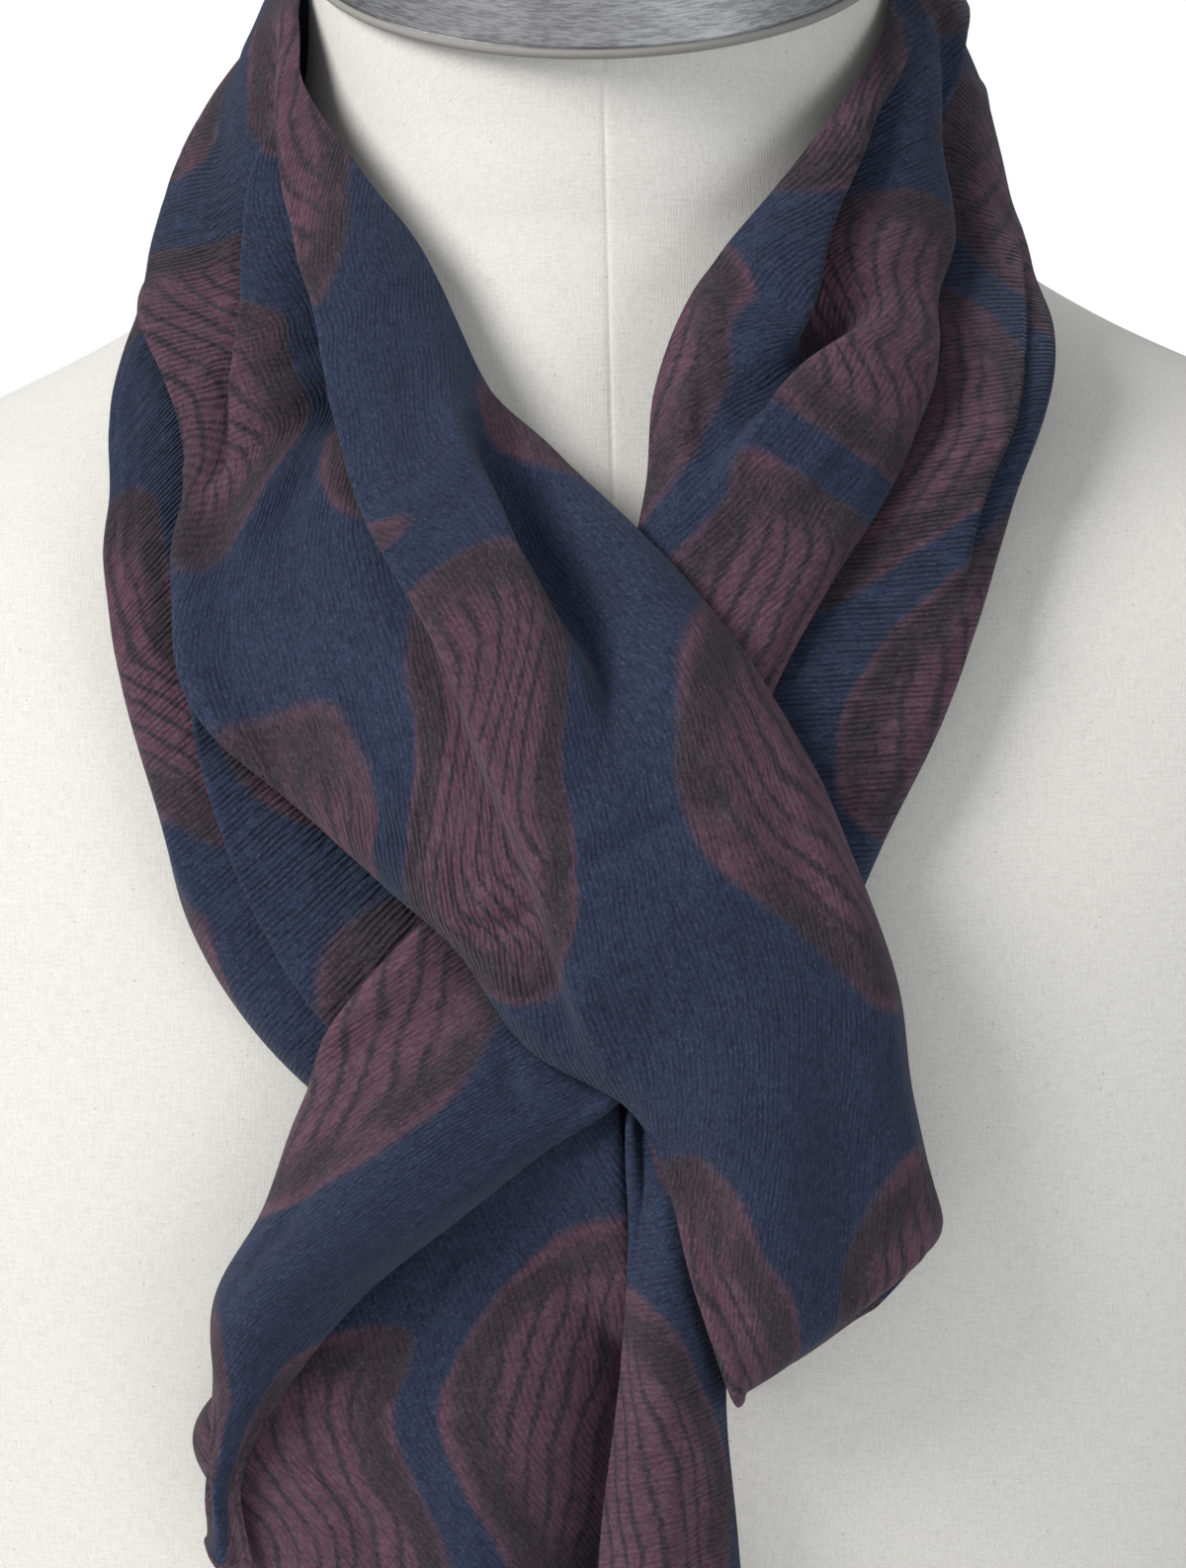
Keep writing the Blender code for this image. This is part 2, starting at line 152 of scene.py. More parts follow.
LOOP_FRONT_FOLDS = table(Fold, [
    # the band nearest the throat laps over the cloth on both its sides
    ("inner", 30, 6.5, [(3.4, 0.12, 0), (4.2, 0.09, 5), (4.8, 0.09, 8), (5.4, 0.125, 11),
        (5.9, 0.17, 13), (6.5, 0.225, 15), (7.2, 0.28, 15), (8.0, 0.32, 14), (9.0, 0.34, 12),
        (9.6, 0.40, 9), (10.2, 0.47, 7), (11.1, 0.62, 5), (12.0, 0.73, 4.5), (12.8, 0.81, 4.5),
        (13.9, 0.96, 0)]),
    ("outer", 26, 6.0, [(8.0, 0.03, 0), (8.8, 0.05, 5), (9.3, 0.12, 11), (9.9, 0.20, 13),
        (10.3, 0.25, 13), (10.8, 0.29, 10), (11.2, 0.32, 7), (11.9, 0.40, 0)]),
    # hollow behind it, and the soft crest on the throat side of the hollow
    ("both", 11, 0, [(8.8, 0.03, 0), (9.5, 0.09, -8), (10.2, 0.15, -11), (11.0, 0.23, -8.5),
        (12.0, 0.36, 0)]),
    ("both", 11, 0, [(9.6, 0.02, 0), (10.5, 0.05, 3), (11.3, 0.10, 5), (12.3, 0.20, 4), (14.0, 0.30, 0)]),
    # pit on the left of the band
    ("both", 9, 0, [(5.8, 0.36, 0), (6.4, 0.43, -7), (6.9, 0.47, -15), (7.4, 0.49, -18),
        (7.9, 0.49, -9), (8.3, 0.48, 0)]),
    # valley from which the gathers run
    ("inner", 13, 2.0, [(4.4, 0.18, 0), (5.0, 0.27, 4), (5.3, 0.40, 6), (5.7, 0.55, 7), (6.1, 0.65, 7),
        (6.6, 0.75, 6), (7.0, 0.82, 4), (7.35, 0.88, 0)]),
    ("both", 5, 0, [(5.1, 0.46, 0), (5.7, 0.65, -4), (6.2, 0.74, -5), (6.7, 0.83, -5), (7.1, 0.89, -3),
        (7.4, 0.93, 0)]),
    # loose fold round the nape
    ("outer", 14, 2, [(0.0, 0.50, 3), (1.2, 0.46, 3), (2.4, 0.40, 0)]),
    # the wrap's lower end
    ("outer", 14, 2.5, [(15.9, 0.06, 0), (16.5, 0.08, 1.6), (17.2, 0.14, 1.6), (17.7, 0.20, 0)]),
    ("both", 12, 0, [(13.5, 0.72, 0), (15.0, 0.74, 3.5), (16.5, 0.70, 3), (17.5, 0.66, 0)]),
    ("both", 8, 0, [(14.2, 0.35, 0), (15.4, 0.37, -1.8), (16.8, 0.45, -1.2), (17.6, 0.5, 0)]),
])
LOOP_FRONT_CREASES = table(Crease, [
    (2.6, [(12.1, 0.76, 0), (12.2, 0.66, -1.5), (12.4, 0.48, -1.6), (12.6, 0.30, -1.3), (12.7, 0.14, 0)]),
    (2.4, [(11.8, 0.95, 0), (12.0, 0.92, -2.4), (12.2, 0.86, -2.6), (12.3, 0.78, 0)]),
    (2.6, [(12.6, 0.96, 0), (12.7, 0.90, -1.4), (12.9, 0.84, 0)]),
    (3.0, [(11.0, 0.80, 0), (11.3, 0.86, 1.6), (11.6, 0.97, 0)]),
    (3.4, [(12.4, 0.02, 0), (13.2, 0.10, 1.5), (14.2, 0.12, 1.8), (15.4, 0.06, 0)]),
    (2.6, [(14.4, 0.98, 0), (14.8, 0.90, -1.8), (15.4, 0.84, -1.5), (16.3, 0.80, 0)]),
    (3.0, [(9.2, 0.70, 0), (9.8, 0.76, 1.6), (10.5, 0.80, 1.6), (11.2, 0.84, 0)]),
    (5.0, [(8.3, 0.86, 0), (7.9, 0.75, 2.5), (7.75, 0.63, 3.4), (7.9, 0.53, 3.4), (8.4, 0.45, 0)]),
    (3.2, [(7.6, 0.20, 0), (8.6, 0.24, 1.2), (9.6, 0.34, 1.4), (10.6, 0.44, 0)]),
    (3.0, [(1.0, 0.35, 0), (2.0, 0.38, 2), (3.2, 0.34, 0)]),
    (3.0, [(0.6, 0.70, 0), (1.6, 0.66, -1.8), (3.4, 0.70, 0)]),
])

LOOP_BACK = table(Station, [
    (-180, 656, 9, -180, 592, 5, 12),
    (-150, 654, 9, -150, 592, 5, 13),
    (-118, 650, 7, -120, 594, 6, 13),
    (-94, 653, 3, -95, 596, 7, 12),
    (-82, 643, 4, -79, 593, 10, 12),
    (-69, 616, 6, -66, 587, 14, 8),
    (-54, 584, 4, -54, 564, 16, 5),
    (-45, 559, 4, -48.9, 541, 15, 4),
    (-38, 534, 4, -45.3, 519, 13, 3),
    (-31, 511, 5, -41.7, 497, 11, 4),
    (-24, 491, 7, -38.4, 474, 10, 4),
    (-17, 474, 9, -33.6, 454, 9, 4),
    (-8, 460, 9, -27, 438, 9, 4),
    (2, 452, 9, -17, 420, 8, 4),
    (12, 450, 9, -5, 400, 8, 4),
    (20, 445, 10, 5, 386, 8, 4),
    (25, 430, 10, 13, 382, 8, 4),
    (26, 408, 9, 20, 392, 8, 3),
])
LOOP_BACK_FOLDS = table(Fold, [
    # the outer band steps down from the one beside the front layer
    ("inner", 20, 3.5, [(7.2, 0.31, 0), (8.2, 0.40, 4), (8.8, 0.46, 5), (9.6, 0.52, 5), (10.6, 0.56, 5),
        (11.4, 0.64, 4), (12.2, 0.70, 0)]),
    ("both", 5, 0, [(8.0, 0.22, 0), (8.6, 0.22, -2.5), (9.6, 0.16, -2.5), (10.8, 0.10, 0)]),
    # loose folds round the nape
    ("outer", 16, 3, [(0.0, 0.52, 4), (1.2, 0.52, 4), (2.4, 0.42, 2), (3.2, 0.36, 0)]),
    ("both", 7, 0, [(0.0, 0.25, -3), (1.4, 0.22, -3), (2.6, 0.2, 0)]),
])
LOOP_BACK_CREASES = table(Crease, [
    (2.6, [(1.4, 0.80, 0), (2.2, 0.76, -2), (3.4, 0.82, 0)]),
    (3.0, [(5.0, 0.84, 0), (6.5, 0.80, -1.5), (8.0, 0.84, 0)]),
    (2.6, [(8.4, 0.84, 0), (9.6, 0.86, 1.4), (11.0, 0.84, 0)]),
    (3.0, [(7.4, 0.36, 0), (8.2, 0.40, 1.5), (9.4, 0.42, 0)]),
])

STRAND_INNER = table(Station, [
    (180, 680, 5, 180, 645, 14, 5),
    (150, 678, 5, 150, 646, 14, 4),
    (118, 673, 5, 120, 648, 13, 3),
    (91, 666, 5, 95, 653, 9, 2),
    (75, 661, 5, 80, 650, 9, 2),
    (65, 653, 5, 71, 640, 12, 3),
    (50, 641, 7, 62, 625, 15, 4),
    (35, 628, 12, 57, 608, 17, 4),
    (22, 613, 16, 47, 594, 18, 4),
    (12, 598, 20, 37, 573, 19, 4),
    (6, 580, 23, 30, 557, 20, 4),
    (4, 560, 24, 23, 541, 20, 3),
    (1, 540, 20, 16, 522, 18, 3),           # from here on under the loop
    (-4, 516, 16, 11, 500, 16, 3),
    (-10, 494, 14, 8, 476, 14, 3),
    (-18, 475, 14, 4, 455, 14, 3),
    (-24, 457, 17, -1, 440, 18, 5),         # the lobe comes out below it
    (-27.5, 438, 19, -7, 431, 22, 5),
    (-30.2, 418, 19, -14, 418, 24, 6),
    (-34.2, 399, 18, -22, 402, 23, 5),
    (-34.6, 376, 16, -29, 381, 20, 3),
    (-36.0, 358, 14, -33, 362, 16, 2),
    (-37.5, 346, 13, -33, 342, 13, 1),      # corner of the hem
])
STRAND_INNER_FOLDS = table(Fold, [
    # the band at the neck, and the one on its right that rises from behind it
    ("inner", 18, 4.0, [(4.6, 0.17, 0), (5.2, 0.17, 3), (6.0, 0.17, 5), (7.0, 0.20, 7), (7.8, 0.25, 8),
        (8.5, 0.37, 7), (9.0, 0.43, 4), (9.6, 0.44, 0)]),
    ("outer", 22, 4.5, [(8.0, 0.70, 0), (8.4, 0.66, 4), (8.8, 0.58, 8), (9.4, 0.47, 8), (9.9, 0.40, 6),
        (10.4, 0.33, 4), (11.0, 0.22, 0)]),
    ("both", 7, 0, [(5.8, 0.22, 0), (6.6, 0.26, -4), (7.4, 0.27, -7), (8.0, 0.36, -6), (8.8, 0.49, -5),
        (9.8, 0.44, 0)]),
    # loose folds round the nape
    ("outer", 14, 2, [(0.0, 0.50, 3), (1.2, 0.46, 4), (2.6, 0.40, 2), (3.4, 0.4, 0)]),
    # the lobe
    ("both", 12, 0, [(16.0, 0.45, 0), (17.0, 0.50, 3), (18.4, 0.50, 4), (19.6, 0.45, 2),
        (20.6, 0.45, 0)]),
    ("both", 5, 0, [(14.8, 0.20, 0), (15.4, 0.30, -1.5), (16.4, 0.34, 0)]),
])
STRAND_INNER_CREASES = table(Crease, [
    (2.6, [(15.6, 0.50, 0), (16.2, 0.66, -1.8), (16.6, 0.90, 0)]),
    (3.0, [(17.0, 0.20, 0), (18.0, 0.26, -1.4), (19.2, 0.28, 0)]),
    (2.6, [(18.6, 0.92, 0), (19.4, 0.72, -1.6), (20.4, 0.50, 0)]),
    (2.4, [(19.8, 0.30, 0), (20.6, 0.34, 1.6), (21.8, 0.4, 0)]),
    (2.8, [(9.0, 0.75, 0), (10.0, 0.66, 1.3), (11.0, 0.55, 0)]),
    (2.6, [(9.6, 0.14, 0), (10.4, 0.12, 1.6), (11.4, 0.2, 0)]),
    (3.0, [(4.6, 0.52, 0), (5.8, 0.48, 1.4), (7.2, 0.5, 0)]),
    (3.0, [(0.8, 0.75, 0), (2.0, 0.72, -2), (3.2, 0.7, 0)]),
])
STRAND_OUTER_FOLDS = table(Fold, [
    ("inner", 26, 3.5, [(5.4, 0.66, 0), (6.3, 0.64, 2), (7.2, 0.52, 4), (8.0, 0.57, 4),
        (8.7, 0.63, 3.5), (9.4, 0.74, 2), (10.4, 0.80, 0)]),
    ("both", 8, 0, [(5.8, 0.10, 0), (6.8, 0.12, -6), (7.6, 0.15, -7), (8.4, 0.12, -3), (9.0, 0.1, 0)]),
    ("outer", 16, 3, [(0.0, 0.52, 4), (1.4, 0.50, 5), (2.6, 0.42, 3), (3.6, 0.40, 0)]),
    ("both", 7, 0, [(0.0, 0.25, -3), (1.4, 0.22, -3), (2.8, 0.2, 0)]),
    # the centre tail is rounded on its left and falls away to its right edge
    ("both", 7, 0, [(14.8, 0.35, 0), (15.8, 0.32, 3), (17.0, 0.35, 2.6), (18.6, 0.40, 2),
        (21.0, 0.45, 1)]),
    ("both", 5, 0, [(16.0, 0.82, 0), (17.2, 0.80, -2), (19.0, 0.74, -1.6), (21.0, 0.70, -1)]),
])
STRAND_OUTER_CREASES = table(Crease, [
    (2.6, [(8.6, 0.40, 0), (9.6, 0.44, -1.4), (10.8, 0.46, 0)]),
    (3.0, [(0.8, 0.80, 0), (2.0, 0.76, -2), (3.2, 0.8, 0)]),
    (2.6, [(17.6, 0.62, 0), (18.6, 0.56, -1.2), (19.8, 0.6, 0)]),
])
LEFT_TAIL_FOLDS = table(Fold, [
    ("both", 13, 0, [(0.2, 0.98, 0), (1.2, 0.98, -4), (2.2, 0.98, -8), (4.0, 0.98, -8.5),
        (6.0, 0.97, -6)]),
    ("both", 10, 0, [(1.0, 0.66, 0), (2.6, 0.66, 1.5), (4.0, 0.64, 2), (6.0, 0.62, 2.5)]),
    ("both", 16, 0, [(3.0, 0.35, 0), (4.2, 0.36, 2), (6.0, 0.38, 4)]),
])
LEFT_TAIL_CREASES = table(Crease, [
    (3.0, [(1.6, 0.30, 0), (2.6, 0.34, -1.2), (3.8, 0.36, 0)]),
    (3.0, [(3.4, 0.60, 0), (4.4, 0.64, -1.5), (5.6, 0.62, 0)]),
])

STRAND_OUTER = table(Station, [
    (180, 656, 9, 180, 592, 5, 12),
    (150, 654, 9, 150, 592, 5, 12),
    (118, 658, 8, 120, 598, 5, 12),
    (94, 662, 6, 94, 603, 4, 11),
    (80, 656, 7, 80, 602, 7, 10),
    (70, 638, 8, 71, 602, 14, 6),
    (62, 618, 8, 66, 599, 18, 4),
    (50, 596, 8, 58, 588, 21, 4),
    (38, 574, 9, 49, 571, 21, 4),
    (29, 557, 10, 42, 553, 18, 3),
    (21, 540, 10, 36, 531, 16, 3),
    (13, 521, 10, 31, 511, 14, 3),
    (8, 500, 10, 25, 489, 12, 3),
    (5, 476, 10, 20, 468, 11, 3),
    (2, 453, 12, 15, 449, 12, 3),
    (0, 436, 16, 11, 432, 15, 3),           # the centre tail comes out of the loop
    (0, 412, 19, 9, 410, 16, 3),
    (-1, 383, 20, 8, 378, 16, 3),
    (-3, 350, 19, 9, 347, 15, 3),
    (-4, 316, 18, 10, 315, 14, 3),
    (-5, 282, 16, 10, 282, 13, 3),
    (-6, 250, 13, 11, 250, 12, 3),          # its hem
])

LEFT_TAIL = table(Station, [
    (-18, 446, 11, -1, 440, 11, 2),
    (-25, 405, 12, 0, 405, 12, 2),
    (-38, 372, 11, -1, 375, 12, 2),         # a flap shows past the lobe
    (-34.8, 346, 11, -3, 343, 12, 2),
    (-35.5, 312, 11, -4, 310, 12, 2),
    (-38.5, 275, 10, -5, 276, 11, 2),
    (-40, 240, 9, -6, 242, 10, 2),          # its hem
])

HEM_WAVE = 1.3              # how far a hem hangs up and down, over the last stretch of its tail
HEM_WAVE_REACH = 30.0
HEM_WAVE_TURN = 7.0
EDGE_ROLL = 4.0             # how far a long edge rolls inwards, and over what width
EDGE_ROLL_WIDTH = 7.0
FREE_EDGE = 8.0             # a fold's tuck fades out this near an edge
LEAST_WIDTH = 8.0           # no row of a stretch counts as narrower
STEP = 3.0                  # half the width of a fold's steep side
VALLEY_SHARE = 0.22         # the valley beside a lapped fold: its depth as a share of the rise,
VALLEY_PLACE = 1.6          # its place and its width in steps
VALLEY_WIDTH = 1.3
HIDDEN_SHARE = 1.9          # cloth hidden in a lapped fold, for each mm that it rises
HIDING_RISE = 11.0          # a fold that rises less than this hides less of it
LAYER_GAP = 1.3             # air between two layers of cloth
PROBE = 2.5                 # each point is kept clear this far around it
PROBED_ROWS = 110           # about how many rows and columns of a stretch are probed
PROBED_COLUMNS = 36
PROBE_START = 0.4           # m from the axis, well outside the cloth
NAPE = math.radians(179.8)  # no piece looks for cloth past the middle of the nape
GATHER_CLOSENESS = 3.2      # how many times closer the rows stand where the cloth is gathered
FINE_ROWS = 1200            # samples from which the rows and the places across are spaced
FINE_PLACES = 600
EDGE_CLOSENESS = 1.5        # how much closer the columns stand at the edges, and how far in
EDGE_REACH = 5.0
FOLD_CLOSENESS = 1.8        # the same at the folds
FOLD_REACH = 7.0
GUIDE_REACH = 2.0           # stations over which a guided column leaves its fold
WOBBLES = 4                 # waves that make a row of gathers uneven
GATHER_FADE = 0.5           # stations over which gathers begin and end
RIPPLE_FADE = 25.0          # ripples begin this far from the nape
STITCH_SEED = 21

GATHERS = {
    "loop_front": table(Gathers, [
        ([(4.5, 0.50), (5.0, 0.64), (5.4, 0.73), (5.9, 0.80), (6.4, 0.86), (6.9, 0.90)],
         2.6, 7.0, 0.42, 0.5),
    ]),
    "loop_back": table(Gathers, [
        ([(7.8, 0.16), (8.5, 0.22), (9.1, 0.24), (9.8, 0.21), (10.8, 0.14)], 2.0, 4.0, 0.28, -0.2),
    ]),
}

# Where the cloth's ribs stand out, as lines like the creases, with a strength from 0 to 1.
RIBBED = {
    "loop_back": table(Crease, [
        (16, [(0, 0.5, 0.6), (3.0, 0.3, 0.8), (4.4, 0.28, 1.0), (6.6, 0.2, 1.0), (8.4, 0.3, 0.5),
            (9.8, 0.2, 1.0), (11, 0.12, 0.8), (12, 0.1, 0)]),
    ]),
    "strand_outer": table(Crease, [
        (30, [(0, 0.5, 0.6), (5.0, 0.6, 0.8), (7.0, 0.6, 1.0), (10.0, 0.5, 1.0), (12.0, 0.5, 0.9),
            (14.0, 0.5, 0)]),
    ]),
    "strand_inner": table(Crease, [
        (14, [(0, 0.5, 0.4), (5.0, 0.2, 0.8), (7.5, 0.2, 0.7), (9.0, 0.2, 0.2), (10, 0.2, 0)]),
    ]),
    "loop_front": table(Crease, [
        (15, [(0, 0.5, 0.4), (2.6, 0.5, 0.3), (4.0, 0.5, 0)]),
        (9, [(10.0, 0.97, 0), (11.0, 0.9, 0.9), (12.0, 0.93, 0.9), (13, 0.9, 0.3), (14, 0.9, 0)]),
    ]),
}

# Where pulled threads make ribs across the cloth, written in the same way.
CROSS_RIBBED = {
    "loop_front": table(Crease, [
        (13, [(2.4, 0.62, 0), (3.6, 0.66, 0.9), (4.6, 0.74, 1.0), (5.4, 0.80, 1.0), (6.4, 0.88, 1.0),
            (7.4, 0.93, 0.6), (8.4, 0.95, 0)]),
    ]),
}

# Everything else that makes one stretch of cloth.  Cells count along and across.  A guide (share,
# fold) keeps that share of the cells on the inner side of a fold, so that the mesh runs along it.
# The print starts at its own place on the cloth, and the weave runs at its own angle.
Stretch = namedtuple("Stretch", "stations folds guides creases along across ripples seed "
                                "print_start print_way weave_angle rests_on hemmed")

STRETCHES = {
    "loop_back": Stretch(LOOP_BACK, LOOP_BACK_FOLDS, [(0.50, 0)], LOOP_BACK_CREASES, 400, 112, 26, 11,
                         (340, 0), 1, 72, ["linen_form"], False),
    "left_tail": Stretch(LEFT_TAIL, LEFT_TAIL_FOLDS, [], LEFT_TAIL_CREASES, 230, 130, 12, 12,
                         (520, 300), 1, 35, ["linen_form"], True),
    "strand_outer": Stretch(STRAND_OUTER, STRAND_OUTER_FOLDS, [(0.60, 0)], STRAND_OUTER_CREASES,
                            430, 100, 22, 13, (340, 0), -1, 72, ["linen_form"], True),
    "strand_inner": Stretch(STRAND_INNER, STRAND_INNER_FOLDS, [(0.50, 1)], STRAND_INNER_CREASES,
                            420, 112, 26, 14, (0, 0), -1, 25, ["linen_form", "strand_outer_cloth"], True),
    "loop_front": Stretch(LOOP_FRONT, LOOP_FRONT_FOLDS, [(0.44, 0)], LOOP_FRONT_CREASES,
                          350, 138, 30, 15, (0, 0), 1, 25, ["strand_inner_cloth", "loop_back_cloth"], False),
}


# ---------------------------------------------------------------- settings
class FormSettings(bpy.types.PropertyGroup):
    """Linen cover and metal cap of the dress form"""
    linen_colour: FloatVectorProperty(name="Linen", description="Colour of the linen cover",
                                      subtype="COLOR", size=3, default=(0.805, 0.795, 0.762))
    thread_pitch: FloatProperty(name="Thread pitch", description="Distance between linen threads",
                                default=0.00062, unit="LENGTH", precision=5)
    seam_depth: FloatProperty(name="Seam depth", description="Depth of the cover's seams",
                              default=0.00022, unit="LENGTH", precision=5)
    seam_width: FloatProperty(name="Seam width", description="Width of the cover's seams",
                              default=0.0011, unit="LENGTH", precision=5)
    cap_radius: FloatProperty(name="Cap radius", description="Radius of the metal neck cap",
                              default=0.0626, unit="LENGTH", precision=4)
    cap_side: FloatProperty(name="Cap side", description="Height of the cap's straight side",
                            default=0.030, unit="LENGTH", precision=4)
    cap_dome: FloatProperty(name="Cap dome", description="Rise of the cap's top",
                            default=0.007, unit="LENGTH", precision=4)
    metal_colour: FloatVectorProperty(name="Metal", description="Colour of the brushed metal",
                                      subtype="COLOR", size=3, default=(0.47, 0.47, 0.49))


class WoolSettings(bpy.types.PropertyGroup):
    """Printed wool cloth"""
    thickness: FloatProperty(name="Thickness", description="Thickness of the gathered wool",
                             default=0.0014, unit="LENGTH", precision=4)
    navy: FloatVectorProperty(name="Navy", description="Ground of the print",
                              subtype="COLOR", size=3, default=(0.0258, 0.0375, 0.078))
    burgundy: FloatVectorProperty(name="Burgundy", description="Leaves of the print",
                                  subtype="COLOR", size=3, default=(0.118, 0.059, 0.085))
    charcoal: FloatVectorProperty(name="Charcoal", description="Rings and veins of the leaves",
                                  subtype="COLOR", size=3, default=(0.036, 0.032, 0.039))
    rib_pitch: FloatProperty(name="Rib pitch", description="Distance between the twill's ribs",
                             default=0.00122, unit="LENGTH", precision=5)
    leaf_length: FloatProperty(name="Leaf length", description="Half length of a leaf",
                               default=0.041, unit="LENGTH", precision=3)
    leaf_width: FloatProperty(name="Leaf width", description="Half width of a leaf",
                              default=0.027, unit="LENGTH", precision=3)
    vein_pitch: FloatProperty(name="Vein pitch", description="Distance between a leaf's veins",
                              default=0.0044, unit="LENGTH", precision=4)
    hem_radius: FloatProperty(name="Hem radius", description="Radius of the rolled hems",
                              default=0.0010, unit="LENGTH", precision=4)
    stitch_pitch: FloatProperty(name="Stitch pitch", description="Distance between the hems' stitches",
                                default=0.0042, unit="LENGTH", precision=4)
    stitch_length: FloatProperty(name="Stitch length", description="Half length of a stitch",
                                 default=0.0015, unit="LENGTH", precision=4)
    thread_radius: FloatProperty(name="Thread radius", description="Radius of the hems' thread",
                                 default=0.00028, unit="LENGTH", precision=5)
    stitch_slant: FloatProperty(name="Stitch slant", description="Lean of the stitches over the hem",
                                default=math.radians(38.0), subtype="ANGLE")


class StageSettings(bpy.types.PropertyGroup):
    """Floor, light and camera"""
    floor_radius: FloatProperty(name="Floor radius", description="Radius of the round floor",
                                default=1.25, unit="LENGTH")
    floor_colour: FloatVectorProperty(name="Floor", description="Colour of the floor",
                                      subtype="COLOR", size=3, default=(0.82, 0.82, 0.81))
    key_power: FloatProperty(name="Key light", description="Power of the key light in watts",
                             default=60.5)
    fill_power: FloatProperty(name="Fill light", description="Power of the fill light in watts",
                              default=10.0)
    sky: FloatProperty(name="Surrounding light", description="Strength of the pale surroundings",
                       default=0.328)
    distance: FloatProperty(name="Camera distance", description="From the camera to its aim",
                            default=1.56, unit="LENGTH")
    view_height: FloatProperty(name="View height", description="What the picture's height spans",
                               default=0.3283, unit="LENGTH", precision=4)
    elevation: FloatProperty(name="Camera elevation", description="Downward look of the camera",
                             default=math.radians(7.0), subtype="ANGLE")
    roll: FloatProperty(name="Camera roll", description="Lean of the camera",
                        default=math.radians(1.3), subtype="ANGLE")


# ---------------------------------------------------------------- shape rules
def smooth_between(keys, values, x):
    """Smooth values between unevenly spaced keys, without overshoot."""
    keys, values = np.asarray(keys, float), np.asarray(values, float)
    x = np.clip(x, keys[0], keys[-1])
    steps = np.diff(keys)
    grades = np.diff(values) / steps
    slopes = np.zeros(len(keys))
    product = grades[:-1] * grades[1:]
    same_way = product > 0
    slopes[1:-1][same_way] = 2 * product[same_way] / (grades[:-1] + grades[1:])[same_way]
    row = np.clip(np.searchsorted(keys, x, side="right") - 1, 0, len(keys) - 2)
    t = (x - keys[row]) / steps[row]
    return ((2 * t ** 3 - 3 * t ** 2 + 1) * values[row]
            + (t ** 3 - 2 * t ** 2 + t) * slopes[row] * steps[row]
            + (3 * t ** 2 - 2 * t ** 3) * values[row + 1]
            + (t ** 3 - t ** 2) * slopes[row + 1] * steps[row])


def through(values, places, first):
    """Catmull-Rom through evenly spaced values; first is the value before them all."""
    padded = np.array([first, *values, values[-1]], float)
    row = np.clip(np.floor(places).astype(int), 0, len(values) - 2)
    t = np.clip(places - row, 0.0, 1.0)
    before, start, end, after = padded[row], padded[row + 1], padded[row + 2], padded[row + 3]
    return 0.5 * (2 * start + (end - before) * t + (2 * before - 5 * start + 4 * end - after) * t ** 2
                  + (3 * start - before - 3 * end + after) * t ** 3)


def ease(t):
    """0 up to 0, 1 from 1 on, smooth between."""
    t = np.clip(t, 0.0, 1.0)
    return t * t * (3 - 2 * t)


def form_radius(bearing, height):
    """Distance in mm from the upright axis to the form's skin."""
    heights = [section.height for section in FORM_SECTIONS]

    def column(name):
        return smooth_between(heights, [getattr(section, name) for section in FORM_SECTIONS], height)

    power = column("squareness")
    depth = np.where(np.cos(bearing) > 0, column("front"), column("back"))
    across = np.abs(np.sin(bearing)) / column("half_width")
    along = np.abs(np.cos(bearing)) / depth
    return (across ** power + along ** power) ** (-1.0 / power)


def neck_cut_height(bearing):
    """Height at which the neck's skin meets its tilted cut."""
    height = np.full_like(bearing, NECK_TOP)
    for _ in range(CUT_ROUNDS):
        forward = np.cos(bearing) * form_radius(bearing, height) + NECK_TOP_SHIFT
        height = NECK_TOP - math.tan(math.radians(NECK_TILT)) * forward
    return height


def to_points(bearing, height, radius):
    """Points in mm from bearings, heights and distances from the axis."""
    return np.stack([radius * np.sin(bearing), -radius * np.cos(bearing), height], axis=-1)


def along_fold(fold, row):
    """Place across and rise of a fold at each row; no rise before its start or after its end."""
    rows = [point[0] for point in fold.points]
    place = smooth_between(rows, [point[1] for point in fold.points], row)
    rise = smooth_between(rows, [point[2] for point in fold.points], row)
    return place, np.where((row < rows[0]) | (row > rows[-1]), 0.0, rise)


def fold_shape(fold, row, across, width_here):
    """What one fold adds to the lift, and how far it moves the cloth across, in mm."""
    place, rise = along_fold(fold, row)
    away = (across - place) * width_here
    if fold.kind == "both":
        return rise * np.exp(-(away / fold.width) ** 2), np.zeros_like(away)
    side = -1.0 if fold.kind == "inner" else 1.0
    away = away * side
    lifted = rise * ease((away + STEP) / (2 * STEP)) * np.exp(-np.maximum(away, 0.0) / fold.width)
    valley_away = (away + VALLEY_PLACE * STEP) / (VALLEY_WIDTH * STEP)
    valley = -VALLEY_SHARE * rise * np.exp(-valley_away ** 2)
    share = rise / max(point[2] for point in fold.points)
    lapped = -fold.tuck * share ** 2 * (away / STEP) * np.exp(0.5 - 0.5 * (away / STEP) ** 2)
    return lifted + valley, lapped * side


def hidden_cloth(folds, row, across, width_here):
    """Cloth in mm that the folds up to each place hide under themselves, so that the print jumps."""
    total = np.zeros_like(width_here)
    for fold in folds:
        if fold.kind != "both":
            place, rise = along_fold(fold, row)
            away = (across - place) * width_here
            lapped = np.minimum(rise / HIDING_RISE, 1.0)
            total += HIDDEN_SHARE * rise * lapped * ease((away + STEP) / (2 * STEP))
    return total


